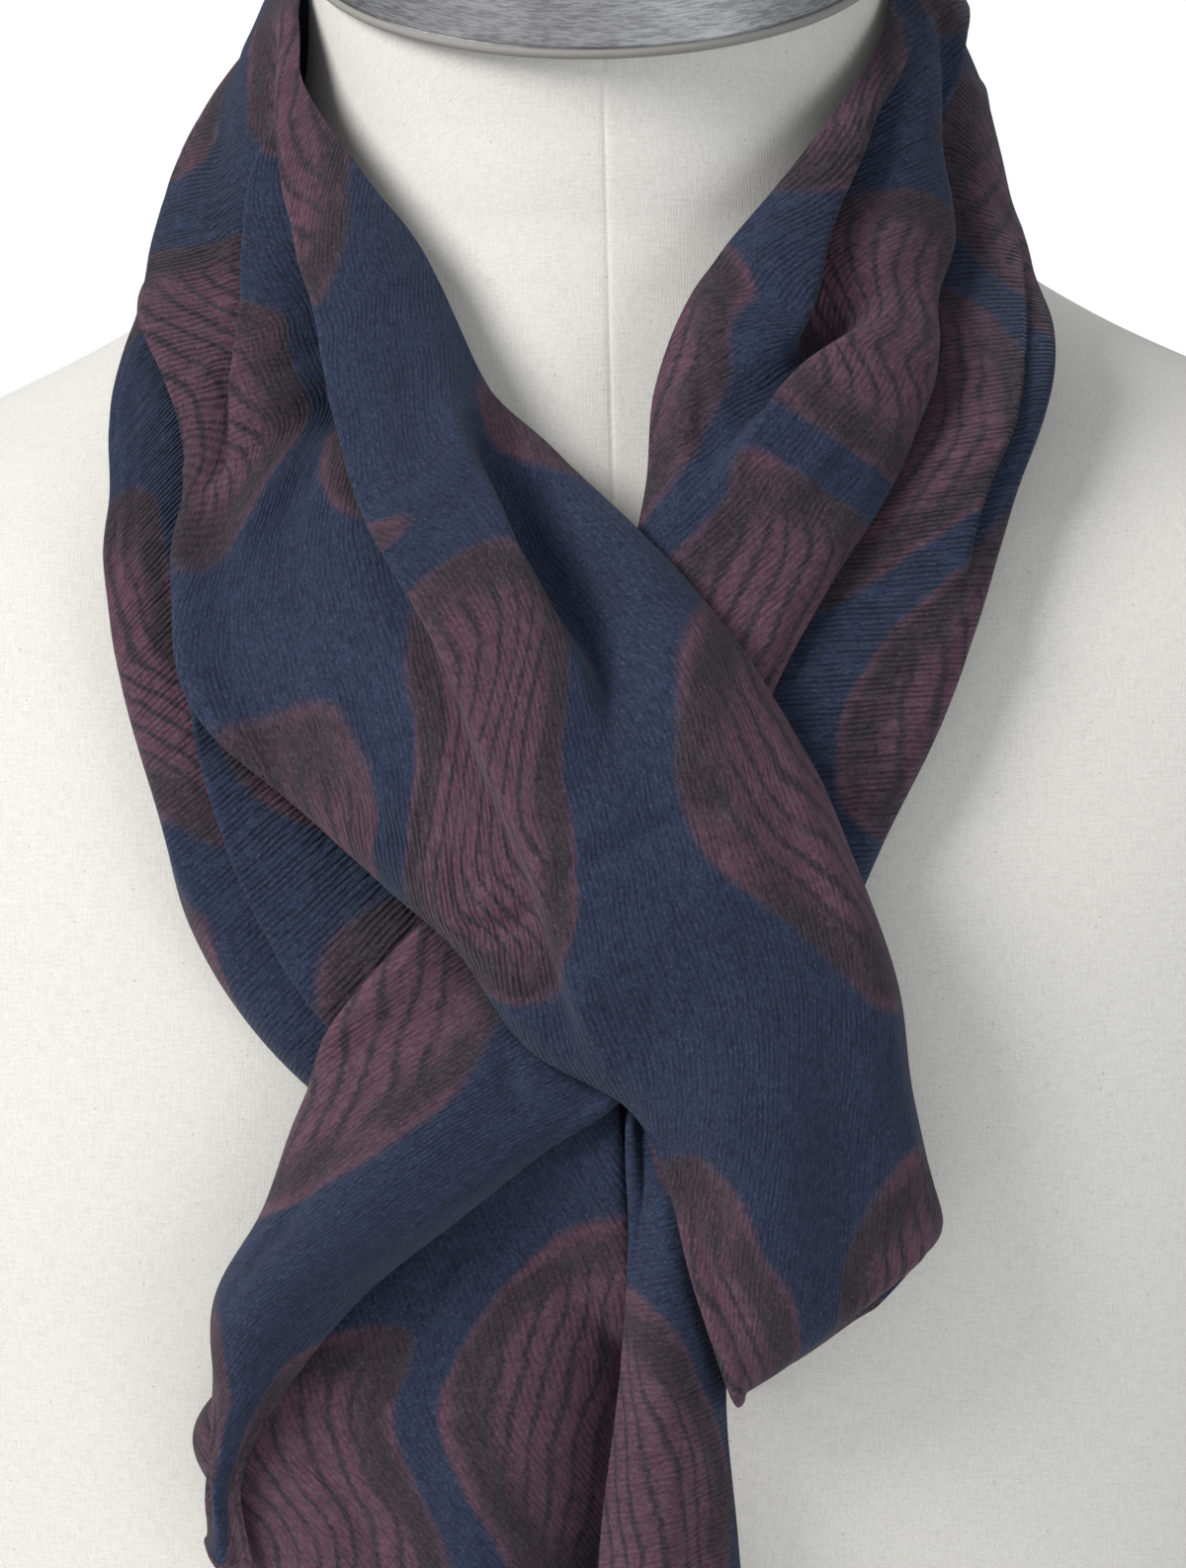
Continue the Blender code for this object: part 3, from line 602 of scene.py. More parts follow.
def crease_rise(crease, rows, length_along, row, across, width_here, length):
    """A trough or ridge along a bent line that may run any way over the cloth."""
    middle = across * width_here
    width_at = [float(np.interp(point[0], rows, width_here[:, 0])) for point in crease.points]
    spots = [(float(np.interp(point[0], rows, length_along)), point[1] * width, point[2])
             for point, width in zip(crease.points, width_at)]
    nearest = np.full_like(row, 1e9)
    rise = np.zeros_like(row)
    for (y0, x0, rise0), (y1, x1, rise1) in zip(spots, spots[1:]):
        span = math.hypot(x1 - x0, y1 - y0)
        t = np.clip(((middle - x0) * (x1 - x0) + (length - y0) * (y1 - y0)) / span ** 2, 0.0, 1.0)
        away = np.hypot(middle - x0 - t * (x1 - x0), length - y0 - t * (y1 - y0))
        closer = away < nearest
        nearest = np.where(closer, away, nearest)
        rise = np.where(closer, rise0 + (rise1 - rise0) * ease(t), rise)
    return rise * np.exp(-(nearest / crease.width) ** 2)


def gather_rise(gathers, row, across, width_here, length_along, rng):
    """Short uneven ridges that cross a line, side by side."""
    rows = [point[0] for point in gathers.points]
    place = smooth_between(rows, [point[1] for point in gathers.points], row)
    away = (across - place) * width_here
    run = length_along + gathers.lean * away
    wobble = sum(rng.uniform(0.15, 0.45) * np.sin(run * 2 * math.pi / (gathers.pitch * rng.uniform(1.7, 5))
                                                + rng.uniform(0, 6.3)) for _ in range(WOBBLES))
    wave = np.sin(run * 2 * math.pi / gathers.pitch + wobble)
    ends = ease((row - rows[0]) / GATHER_FADE) * ease((rows[-1] - row) / GATHER_FADE)
    return gathers.depth * wave * np.exp(-(away / gathers.length) ** 2) * ends


def ripples(count, row, across, width_here, length_along, rng):
    """Soft troughs and ridges of uneven length, depth and direction over a stretch."""
    total = np.zeros_like(width_here)
    middle = across * width_here
    whole = float(length_along.max())
    for _ in range(count):
        centre_along = rng.uniform(0, whole)
        centre_across = rng.uniform(0, float(width_here.max()))
        half_length = rng.uniform(12, 46)
        half_width = rng.uniform(1.8, 5.5)
        lean = rng.gauss(0, 0.22)
        bend = rng.gauss(0, 0.004)
        depth = rng.choice((-1, 1)) * rng.uniform(0.25, 0.95)
        dx = length_along - centre_along
        dy = middle - centre_across - lean * dx - bend * dx ** 2
        total += depth * np.exp(-(dx / half_length) ** 2 - (dy / half_width) ** 2)
    return total * ease(length_along / RIPPLE_FADE)


def spread_and_smooth(field, cells):
    """Widen each peak of a grid by some cells, then average, so no value falls below its start."""
    def windows(grid):
        padded = np.pad(grid, cells, mode="edge")
        return np.lib.stride_tricks.sliding_window_view(padded, (2 * cells + 1, 2 * cells + 1))
    widest = windows(field).max(axis=(2, 3))
    return windows(widest).mean(axis=(2, 3))


def outermost(layers, bearing, height):
    """Radius in mm of the outermost skin at a bearing and height, or 0."""
    way = Vector((math.sin(bearing), -math.cos(bearing), 0.0))
    start = way * PROBE_START + Vector((0, 0, height * MM))
    found = 0.0
    for layer in layers:
        hit = layer.ray_cast(start, -way, PROBE_START)[0]
        if hit is not None:
            found = max(found, math.hypot(hit.x, hit.y) / MM)
    return found


def lift_clear(bearing, height, radius, layers, half_wall):
    """Extra radius, in mm, that keeps a grid of cloth clear of the layers under it."""
    def probed(count, target):
        return np.unique(np.r_[np.arange(0, count, max(1, count // target)), count - 1])

    rows, columns = probed(radius.shape[0], PROBED_ROWS), probed(radius.shape[1], PROBED_COLUMNS)
    lack = np.zeros((len(rows), len(columns)))
    for b, j in enumerate(rows):
        for a, i in enumerate(columns):
            turn = PROBE / radius[j, i]
            below = max(outermost(layers, min(max(bearing[j, i] + da, -NAPE), NAPE), height[j, i] + dh)
                        for da, dh in ((0, 0), (turn, 0), (-turn, 0), (0, PROBE), (0, -PROBE)))
            lack[b, a] = max(0.0, below + LAYER_GAP + half_wall - radius[j, i])
    raised = spread_and_smooth(lack, 1)
    along = np.array([np.interp(np.arange(radius.shape[0]), rows, raised[:, a])
                      for a in range(len(columns))]).T
    return np.array([np.interp(np.arange(radius.shape[1]), columns, line) for line in along])


# ---------------------------------------------------------------- mesh helpers
def link_object(name, data):
    """A new object of the scene that shows the data."""
    obj = bpy.data.objects.new(name, data)
    bpy.context.scene.collection.objects.link(obj)
    return obj


def grid_mesh(name, points, maps):
    """A mesh from a grid of points in mm, with UV maps given in mm and kept in metres."""
    def corners(grid):
        return [grid[:-1, :-1], grid[:-1, 1:], grid[1:, 1:], grid[1:, :-1]]

    rows, columns = points.shape[:2]
    faces = np.stack(corners(np.arange(rows * columns).reshape(rows, columns)), axis=-1)
    mesh = bpy.data.meshes.new(name)
    mesh.from_pydata((points.reshape(-1, 3) * MM).tolist(), [], faces.reshape(-1, 4).tolist())
    for map_name, grid in maps.items():
        loops = np.stack(corners(grid), axis=-2)
        mesh.uv_layers.new(name=map_name).data.foreach_set("uv", (loops.reshape(-1) * MM).astype(np.float32))
    mesh.update()
    mesh.shade_smooth()
    return mesh


def settle(obj):
    """Turn an object's evaluated shape into a plain mesh."""
    mesh = bpy.data.meshes.new_from_object(obj.evaluated_get(bpy.context.evaluated_depsgraph_get()))
    obj.modifiers.clear()
    obj.data = mesh
    mesh.name = obj.name
    return obj


def skin_of(obj):
    """A piece's surface, to measure distances to."""
    points = [vertex.co for vertex in obj.data.vertices]
    return BVHTree.FromPolygons(points, [tuple(face.vertices) for face in obj.data.polygons])


# ---------------------------------------------------------------- material helpers
class Nodes:
    """Short calls for building one material's nodes."""

    def __init__(self, name):
        self.material = bpy.data.materials.new(name)
        self.material.use_nodes = True
        self.tree = self.material.node_tree
        self.shader = self.tree.nodes["Principled BSDF"]

    def add(self, kind, **settings):
        node = self.tree.nodes.new(kind)
        for key, value in settings.items():
            setattr(node, key, value)
        return node

    def feed(self, socket, value):
        """Link a socket to another, or set its value."""
        if isinstance(value, bpy.types.NodeSocket):
            self.tree.links.new(value, socket)
        else:
            socket.default_value = value

    def make(self, kind, inputs, output=0, **settings):
        """Add a node, feed its inputs and return one of its outputs, or all of them."""
        node = self.add(kind, **settings)
        for name, value in inputs.items():
            self.feed(node.inputs[name], value)
        return node.outputs if output is None else node.outputs[output]

    def math(self, operation, *values, clamp=False):
        return self.make("ShaderNodeMath", dict(enumerate(values)), operation=operation, use_clamp=clamp)

    def times(self, first, second):
        return self.math("MULTIPLY", first, second)

    def plus(self, first, second):
        return self.math("ADD", first, second)

    def line(self, value, slope, start, clamp=False):
        """slope times value, plus start."""
        return self.math("MULTIPLY_ADD", value, slope, start, clamp=clamp)

    def vector(self, operation, inputs):
        return self.make("ShaderNodeVectorMath", inputs, operation=operation)

    def step(self, value, low, high):
        """0 below low, 1 above high, smooth between; the other way round if low is above high."""
        rising = low < high
        return self.make("ShaderNodeMapRange",
                         {"Value": value, "From Min": min(low, high), "From Max": max(low, high),
                          "To Min": 0.0 if rising else 1.0, "To Max": 1.0 if rising else 0.0},
                         "Result", interpolation_type="SMOOTHSTEP")

    def mix(self, factor, first, second, blend="MIX"):
        first, second = ((*value, 1.0) if isinstance(value, (tuple, list)) else value
                         for value in (first, second))
        return self.make("ShaderNodeMix", {"Factor": factor, 6: first, 7: second}, 2,
                         data_type="RGBA", blend_type=blend)

    def tint(self, colour, shade):
        """A colour multiplied by another."""
        return self.mix(1.0, colour, shade, "MULTIPLY")

    def noise(self, where, size, detail=2.0, roughness=0.5, output="Fac"):
        """Noise with grains of a size in metres."""
        return self.make("ShaderNodeTexNoise", {"Vector": where, "Scale": 1 / size, "Detail": detail,
                                                "Roughness": roughness}, output)

    def wander(self, where, by, size, reach):
        """The place, shifted unevenly by up to half the reach each way."""
        shift = self.vector("SUBTRACT", {0: self.noise(by, size, 1.0, output="Color"), 1: (0.5, 0.5, 0.5)})
        return self.vector("ADD", {0: where, 1: self.vector("SCALE", {0: shift, "Scale": reach})})

    def stretch(self, where, scale=(1, 1, 1), turn=0.0):
        return self.make("ShaderNodeMapping", {"Vector": where, "Scale": scale, "Rotation": (0, 0, turn)})

    def cells(self, where, feature, randomness=1.0, size=1.0):
        """Voronoi cells of a size, scattered from their lattice by a share."""
        inputs = {"Vector": where, "Scale": 1 / size, "Randomness": randomness}
        return self.make("ShaderNodeTexVoronoi", inputs, None, voronoi_dimensions="2D", feature=feature)

    def uv(self, name):
        return self.make("ShaderNodeUVMap", {}, uv_map=name)

    def attribute(self, name):
        return self.make("ShaderNodeAttribute", {}, "Fac", attribute_name=name)

    def on_object(self):
        return self.make("ShaderNodeTexCoord", {}, "Object")

    def axes(self, where):
        return self.make("ShaderNodeSeparateXYZ", {0: where}, None)

    def waves(self, run, pitch):
        """Smooth ridges of a pitch along a run, from 0 to 1."""
        return self.line(self.math("SINE", self.times(run, 2 * math.pi / pitch)), 0.5, 0.5)

    def bump(self, height, strength, distance):
        return self.make("ShaderNodeBump", {"Height": height, "Strength": strength, "Distance": distance})

    def finish(self, values):
        """Feed the shader's sockets and return the material."""
        for name, value in values.items():
            self.feed(self.shader.inputs[name], value)
        return self.material


class Group(Nodes):
    """The same calls for a geometry node group with named inputs."""

    def __init__(self, name, inputs):
        self.tree = bpy.data.node_groups.new(name, "GeometryNodeTree")
        face = self.tree.interface
        face.new_socket(name="Geometry", in_out="INPUT", socket_type="NodeSocketGeometry")
        self.identifiers = {}
        for label, kind in inputs.items():
            socket = face.new_socket(name=label, in_out="INPUT", socket_type="NodeSocket" + kind)
            self.identifiers[label] = socket.identifier
        face.new_socket(name="Geometry", in_out="OUTPUT", socket_type="NodeSocketGeometry")
        self.start = self.add("NodeGroupInput").outputs

    def close(self, shape):
        """Realize the shape, give it the group's material and hand it out."""
        shape = self.make("GeometryNodeRealizeInstances", {"Geometry": shape})
        shape = self.make("GeometryNodeSetMaterial", {"Geometry": shape, "Material": self.start["Material"]})
        self.make("NodeGroupOutput", {"Geometry": shape}, None)

    def shape(self, obj, values):
        """Run the group on an object and leave a plain mesh."""
        rule = obj.modifiers.new(self.tree.name, "NODES")
        rule.node_group = self.tree
        for label, value in values.items():
            rule[self.identifiers[label]] = value
        return settle(obj)


# ---------------------------------------------------------------- materials
CELL = (2.55, 2.35)         # a leaf's cell, in half widths and half lengths
CELL_TURN = 0.35            # slant of the rows of leaves
SCATTER = 0.48              # how far the leaves leave their rows
LEAF_FILL = (0.43, 0.46)    # half width and half length of a leaf, in cells
LEAF_TURNS = (0.9, -0.8)    # spread of the leaves' turns, and the first of them
LEAF_SIZES = (0.16, 0.88)   # spread of their sizes, and the smallest
LEAF_TAPER = -0.22
LEAF_EDGE = (1.035, 0.955)  # where the print ends and where it is full, in half lengths
RING_EDGES = ((0.62, 0.84), (1.04, 0.92))
VEIN_END = (0.86, 0.76)
VEIN_EDGES = (0.26, 0.46)   # in vein pitches
OUTLINE_WANDER = (0.034, 0.009)         # grain and reach, in m
INK_SOAK = (0.0011, 0.0016)
RING_INK = 0.86
VEIN_INK = 0.84

# Darker yarns: flatness, grain in m, roughness, step from dark to plain, and the dark shade.
YARNS = ((0.6, 0.0017, 0.6, (0.34, 0.62), (0.74, 0.74, 0.76)),
         (0.45, 0.0007, 0.65, (0.33, 0.56), (0.66, 0.66, 0.68)))


def leaf_print(nodes, where, settings):
    """Rounded leaves, one to a cell: sockets for the leaf, its dark ring and its veins."""
    place = nodes.wander(where, where, *OUTLINE_WANDER)
    cell = (settings.leaf_width * CELL[0], settings.leaf_length * CELL[1])
    lattice = nodes.stretch(place, (1 / cell[0], 1 / cell[1], 1.0))
    lattice = nodes.stretch(lattice, turn=CELL_TURN)
    nearest = nodes.cells(lattice, "F1", SCATTER)
    shade = nodes.axes(nearest["Color"])
    local = nodes.vector("SUBTRACT", {0: lattice, 1: nearest["Position"]})
    turn = nodes.line(shade[0], *LEAF_TURNS)
    local = nodes.make("ShaderNodeVectorRotate", {"Vector": local, "Angle": turn}, rotation_type="Z_AXIS")
    x, y, _ = nodes.axes(local)
    size = nodes.line(shade[1], *LEAF_SIZES)
    along = nodes.math("DIVIDE", nodes.math("DIVIDE", y, LEAF_FILL[1]), size)
    taper = nodes.line(along, LEAF_TAPER, 1.0)
    across = nodes.math("DIVIDE", nodes.math("DIVIDE", nodes.math("DIVIDE", x, LEAF_FILL[0]), size), taper)
    reach = nodes.math("SQRT", nodes.plus(nodes.times(across, across), nodes.times(along, along)))

    # a leaf is flattened where its neighbour comes close
    border = nodes.line(nodes.cells(lattice, "DISTANCE_TO_EDGE", SCATTER)["Distance"], -2.6, 1.16)
    edge = nodes.math("SMOOTH_MAX", reach, border, 0.28)
    leaf = nodes.step(edge, *LEAF_EDGE)

    # the dark ring inside its edge, broken in places
    inner = nodes.plus(edge, nodes.line(nodes.noise(place, 0.026, 1.0), 0.30, -0.15))
    ring = nodes.times(*(nodes.step(inner, *edges) for edges in RING_EDGES))
    ring = nodes.times(ring, nodes.step(nodes.noise(place, 0.020), 0.20, 0.50))

    # wavy veins along it
    bends = nodes.times(nodes.noise(nodes.stretch(place, (1.0, 0.5, 1.0)), 0.016), settings.vein_pitch * 1.8)
    arch = nodes.times(nodes.times(along, along), settings.leaf_width * 0.3)
    sweep = nodes.plus(nodes.plus(nodes.line(across, settings.leaf_width, bends), arch), 1.0)
    waves = nodes.math("PINGPONG", sweep, settings.vein_pitch / 2)
    veins = nodes.step(waves, *(settings.vein_pitch * edge for edge in VEIN_EDGES))
    veins = nodes.times(veins, nodes.step(nodes.noise(place, 0.014), 0.16, 0.46))
    return leaf, ring, nodes.times(veins, nodes.step(edge, *VEIN_END))


def make_wool(settings):
    """Fulled wool twill with printed leaves, heathered fibres and a light nap."""
    nodes = Nodes("wool_twill")
    where, weave = nodes.uv("print"), nodes.uv("weave")
    navy, burgundy, charcoal = (tuple(c) for c in (settings.navy, settings.burgundy, settings.charcoal))
    pitch = settings.rib_pitch

    # the print soaks a little unevenly into the fibres
    leaf, ring, veins = leaf_print(nodes, nodes.wander(where, weave, *INK_SOAK), settings)
    leaf_ink = nodes.mix(nodes.times(ring, RING_INK), burgundy, charcoal)
    leaf_ink = nodes.mix(nodes.times(veins, VEIN_INK), leaf_ink, charcoal)
    colour = nodes.mix(leaf, navy, leaf_ink)

    # cloudy patches, darker yarns and pale fibres
    cloudy = nodes.step(nodes.noise(where, 0.016, 3.0), 0.35, 0.75)
    colour = nodes.mix(nodes.times(cloudy, 0.30), colour, nodes.tint(colour, (1.5, 1.5, 1.5)))
    for flatness, grain, roughness, plain_step, shade in YARNS:
        mottle = nodes.noise(nodes.stretch(weave, (1.0, flatness, 1.0)), grain, 3.0, roughness)
        colour = nodes.mix(nodes.step(mottle, *plain_step), nodes.tint(colour, shade), colour)
    fibres = nodes.noise(nodes.stretch(weave, (1.0, 0.50, 1.0), 0.7), 0.00042, 2.0, 0.7)
    colour = nodes.mix(nodes.times(nodes.step(fibres, 0.50, 0.74), 0.14), colour, (0.36, 0.35, 0.38))

    # ribs of the twill, plainer where the cloth lies flat and deeper where it is gathered; the grooves carry
    # painted shade
    ribbed = nodes.line(nodes.attribute("gathered"), 0.65, 0.44)
    across = nodes.plus(nodes.axes(weave)[0], nodes.times(nodes.noise(weave, 0.016, 1.0), pitch * 1.1))
    broken = nodes.step(nodes.noise(nodes.stretch(weave, (1.0, 0.25, 1.0)), 0.0022), 0.30, 0.60)
    groove_depth_and_shade = nodes.times(nodes.math("SUBTRACT", 1.0, nodes.waves(across, pitch)), broken)

    # ribs across the cloth where its threads are pulled
    crosswise = nodes.attribute("crosswise")
    x, y, _ = nodes.axes(where)
    along = nodes.plus(nodes.line(x, 0.55, y), nodes.times(nodes.noise(where, 0.012), pitch * 3.0))
    uneven = nodes.step(nodes.noise(where, 0.006), 0.26, 0.52)
    pulled = nodes.times(nodes.times(nodes.waves(along, pitch * 1.35), uneven), crosswise)
    plain = nodes.times(nodes.times(groove_depth_and_shade, ribbed), nodes.line(crosswise, -0.85, 1.0))
    groove_depth_and_shade = nodes.plus(plain, pulled)
    # painted shade: the grooves of the ribs, and of the pulled ribs, are darkened in the colour as well as
    # sunk by the bump
    colour = nodes.mix(nodes.times(groove_depth_and_shade, 0.75), colour, nodes.tint(colour, (0.34, 0.34, 0.36)))
    yarn = nodes.noise(nodes.stretch(weave, (1.0, 0.55, 1.0)), 0.00050, 3.0, 0.7)
    height = nodes.plus(nodes.times(groove_depth_and_shade, -1.1), nodes.times(yarn, 0.70))
    return nodes.finish({"Base Color": colour, "Normal": nodes.bump(height, 0.80, 0.00042),
                         "Roughness": 0.92, "Specular IOR Level": 0.15, "Sheen Weight": 0.11,
                         "Sheen Roughness": 0.5, "Sheen Tint": (0.80, 0.82, 0.92, 1.0)})


def make_linen(settings):
    """Natural linen in a plain weave, with slubs and a few dark specks."""
    nodes = Nodes("natural_linen")
    weave = nodes.uv("weave")
    linen = tuple(settings.linen_colour)
    pitch = settings.thread_pitch
    x, y, _ = nodes.axes(weave)

    def threads(run, side, extra):
        wander = nodes.times(nodes.noise(nodes.stretch(weave, side), 0.0022), pitch * 1.6)
        return nodes.math("SINE", nodes.times(nodes.plus(run, wander), 2 * math.pi / pitch + extra))

    def slub(side):
        return nodes.noise(nodes.stretch(weave, side), 0.0006, 2.0, 0.7)

    warp, weft = threads(x, (1, 0.25, 1), 0.0), threads(y, (0.25, 1, 1), 40.0)
    cloth = nodes.line(nodes.plus(warp, weft), 0.25, 0.5)
    slubs = nodes.times(nodes.plus(slub((1.0, 0.16, 1.0)), slub((0.16, 1.0, 1.0))), 0.5)
    colour = nodes.mix(nodes.step(slubs, 0.34, 0.60), tuple(c * 0.90 for c in linen), linen)
    colour = nodes.mix(nodes.times(nodes.math("SUBTRACT", 1.0, cloth), 0.08), colour,
                       tuple(c * 0.72 for c in linen))
    grain = nodes.step(nodes.noise(weave, 0.00055, 2.0, 0.6), 0.36, 0.58)
    colour = nodes.mix(grain, nodes.tint(colour, (0.93, 0.925, 0.91)), colour)
    specks = nodes.cells(weave, "F1", size=0.011)
    rare = nodes.step(nodes.axes(specks["Color"])[0], 0.62, 0.66)
    dot = nodes.times(nodes.step(specks["Distance"], 0.030, 0.014), rare)
    colour = nodes.mix(nodes.times(dot, 0.45), colour, (0.36, 0.30, 0.23))
    height = nodes.plus(nodes.times(cloth, 0.35), nodes.times(slubs, 1.6))
    return nodes.finish({"Base Color": colour, "Normal": nodes.bump(height, 0.35, 0.00022),
                         "Roughness": 0.88, "Specular IOR Level": 0.2, "Sheen Weight": 0.08})


def make_hem_thread(settings):
    """Dark wool of the rolled hems and their stitches, with uneven fibres."""
    nodes = Nodes("hem_thread")
    fibres = nodes.noise(nodes.on_object(), 0.0008, 3.0, 0.6)
    colour = nodes.mix(nodes.step(fibres, 0.35, 0.65), tuple(settings.charcoal), tuple(settings.burgundy))
    return nodes.finish({"Base Color": colour, "Normal": nodes.bump(fibres, 0.6, 0.0003),
                         "Roughness": 0.92, "Specular IOR Level": 0.15, "Sheen Weight": 0.15})


def make_metal(settings):
    """Metal brushed round the neck, with worn patches and a matt rim."""
    nodes = Nodes("brushed_cap_metal")
    metal = tuple(settings.metal_colour)
    around, up, _ = nodes.axes(nodes.uv("weave"))

    # places on the cap's own cylinder, so that the brushing closes on itself
    turn = nodes.math("DIVIDE", around, settings.cap_radius)
    x, y = (nodes.times(nodes.math(kind, turn), settings.cap_radius) for kind in ("COSINE", "SINE"))
    where = nodes.make("ShaderNodeCombineXYZ", {"X": x, "Y": y, "Z": up})
    fine = nodes.noise(nodes.stretch(where, (0.10, 0.10, 1.0)), 0.00035, 3.0, 0.7)
    broad = nodes.noise(nodes.stretch(where, (0.16, 0.16, 1.0)), 0.0016, 3.0, 0.6)
    worn = nodes.step(nodes.noise(nodes.stretch(where, (0.5, 0.5, 1.0)), 0.016, 3.0, 0.6), 0.40, 0.70)
    marks = nodes.plus(nodes.times(fine, 0.7), nodes.times(broad, 0.3))
    colour = nodes.mix(nodes.step(marks, 0.40, 0.58), tuple(c * 0.58 for c in metal), metal)
    colour = nodes.mix(worn, colour, nodes.tint(colour, (1.15, 1.15, 1.15)))

    # the rim, and above it a near-black line of painted shade where the rim meets the side
    rim = nodes.step(up, CAP_RIM_TOP, CAP_RIM_TOP - 0.0003)
    rim_shade_line = nodes.times(nodes.step(up, CAP_RIM_TOP - 0.0006, CAP_RIM_TOP),
                         nodes.step(up, CAP_RIM_TOP + 0.0008, CAP_RIM_TOP + 0.0002))
    colour = nodes.mix(rim, colour, (0.30, 0.295, 0.28))
    # painted shade: the dark line just above the rim
    colour = nodes.mix(nodes.times(rim_shade_line, 0.7), colour, (0.08, 0.08, 0.08))
    rough = nodes.line(rim, 0.35, nodes.line(marks, 0.30, 0.28), clamp=True)
    return nodes.finish({"Base Color": colour, "Roughness": rough, "Normal": nodes.bump(marks, 0.40, 0.00025),
                         "Metallic": nodes.line(rim, -0.85, 1.0)})


# ---------------------------------------------------------------- the dress form
def make_form_piece(settings):
    """Linen torso and neck: level rings that tilt towards the neck's cut, with seams let in."""
    seams = np.radians(SEAM_BEARINGS)
    seam_half = settings.seam_width / MM / 2
    around = [np.linspace(0, 2 * math.pi, COLUMNS, endpoint=False)]
    around += [(seam + np.arange(-3, 4) * SEAM_STEP) % (2 * math.pi) for seam in seams]
    around = np.unique(np.round(np.concatenate(around), 5))
    levels = np.concatenate([np.linspace(0, CHEST_TOP, RINGS, endpoint=False),
                             np.linspace(CHEST_TOP, NECK_FOOT, RINGS)])
    cut = neck_cut_height(around)
    shares = np.linspace(0, 1, TILTED_RINGS + 1)[1:]
    height = np.concatenate([np.repeat(levels[:, None], len(around), 1),
                             NECK_FOOT + (cut - NECK_FOOT)[None, :] * shares[:, None]])
    bearing = np.repeat(around[None, :], len(height), 0)
    radius = form_radius(bearing, height)
    for seam in seams:
        turn = np.abs((bearing - seam + math.pi) % (2 * math.pi) - math.pi)
        radius -= settings.seam_depth / MM * np.exp(-(turn * radius / seam_half) ** 2)
    points = to_points(bearing, height, radius)

    # the weave runs in true lengths around and up the cover, and meets itself at the back
    closed = np.concatenate([points, points[:, :1]], axis=1)
    arc = np.cumsum(np.linalg.norm(np.diff(closed, axis=1), axis=-1), axis=1)
    girth = arc[:, -1:]
    arc = np.concatenate([np.zeros_like(girth), arc[:, :-1]], axis=1)
    arc = np.where(bearing > math.pi, arc - girth, arc)
    climb = np.cumsum(np.linalg.norm(np.diff(points, axis=0), axis=-1), axis=0)
    climb = np.concatenate([np.zeros_like(climb[:1]), climb], axis=0)
    mesh = grid_mesh("linen_form", points, {"weave": np.stack([arc, climb], axis=-1)})
    obj = link_object("linen_form", mesh)

    # close it at the front, below and at the neck
    work = bmesh.new()
    work.from_mesh(mesh)
    work.verts.ensure_lookup_table()
    rows, columns = height.shape
    layer = work.loops.layers.uv["weave"]
    for first in range(0, (rows - 1) * columns, columns):
        ring = [first + columns - 1, first, first + columns, first + 2 * columns - 1]
        face = work.faces.new([work.verts[k] for k in ring])
        face.smooth = True
        for loop, k in zip(face.loops, ring):
            beside = arc.reshape(-1)[k] if k % columns else 0.0
            loop[layer].uv = (beside * MM, climb.reshape(-1)[k] * MM)
    for ring in (reversed(range(columns)), range((rows - 1) * columns, rows * columns)):
        face = work.faces.new([work.verts[k] for k in ring])
        face.smooth = False
        for loop in face.loops:
            loop[layer].uv = (loop.vert.co.x, loop.vert.co.y)
    bmesh.ops.triangulate(work, faces=[f for f in work.faces if len(f.verts) > 4])
    work.to_mesh(mesh)
    work.free()
    mesh.set_sharp_from_angle(angle=math.radians(50))
    mesh.materials.append(make_linen(settings))
    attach(obj, BODY)
    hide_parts("form_body")
    return obj


def turned_profile():
    """Node group that turns a profile round the upright axis."""
    group = Group("turned_profile", {"Radius": "Float", "Steps": "Int", "Material": "Material"})
    start = group.start
    profile = group.make("GeometryNodeMeshToCurve", {"Mesh": start["Geometry"]})
    circle = group.make("GeometryNodeCurvePrimitiveCircle",
                        {"Resolution": start["Steps"], "Radius": start["Radius"]})
    sweep = group.make("GeometryNodeCurveToMesh", {"Curve": circle, "Profile Curve": profile})
    group.close(group.make("GeometryNodeMergeByDistance", {"Geometry": sweep, "Distance": 0.00002}))
    return group


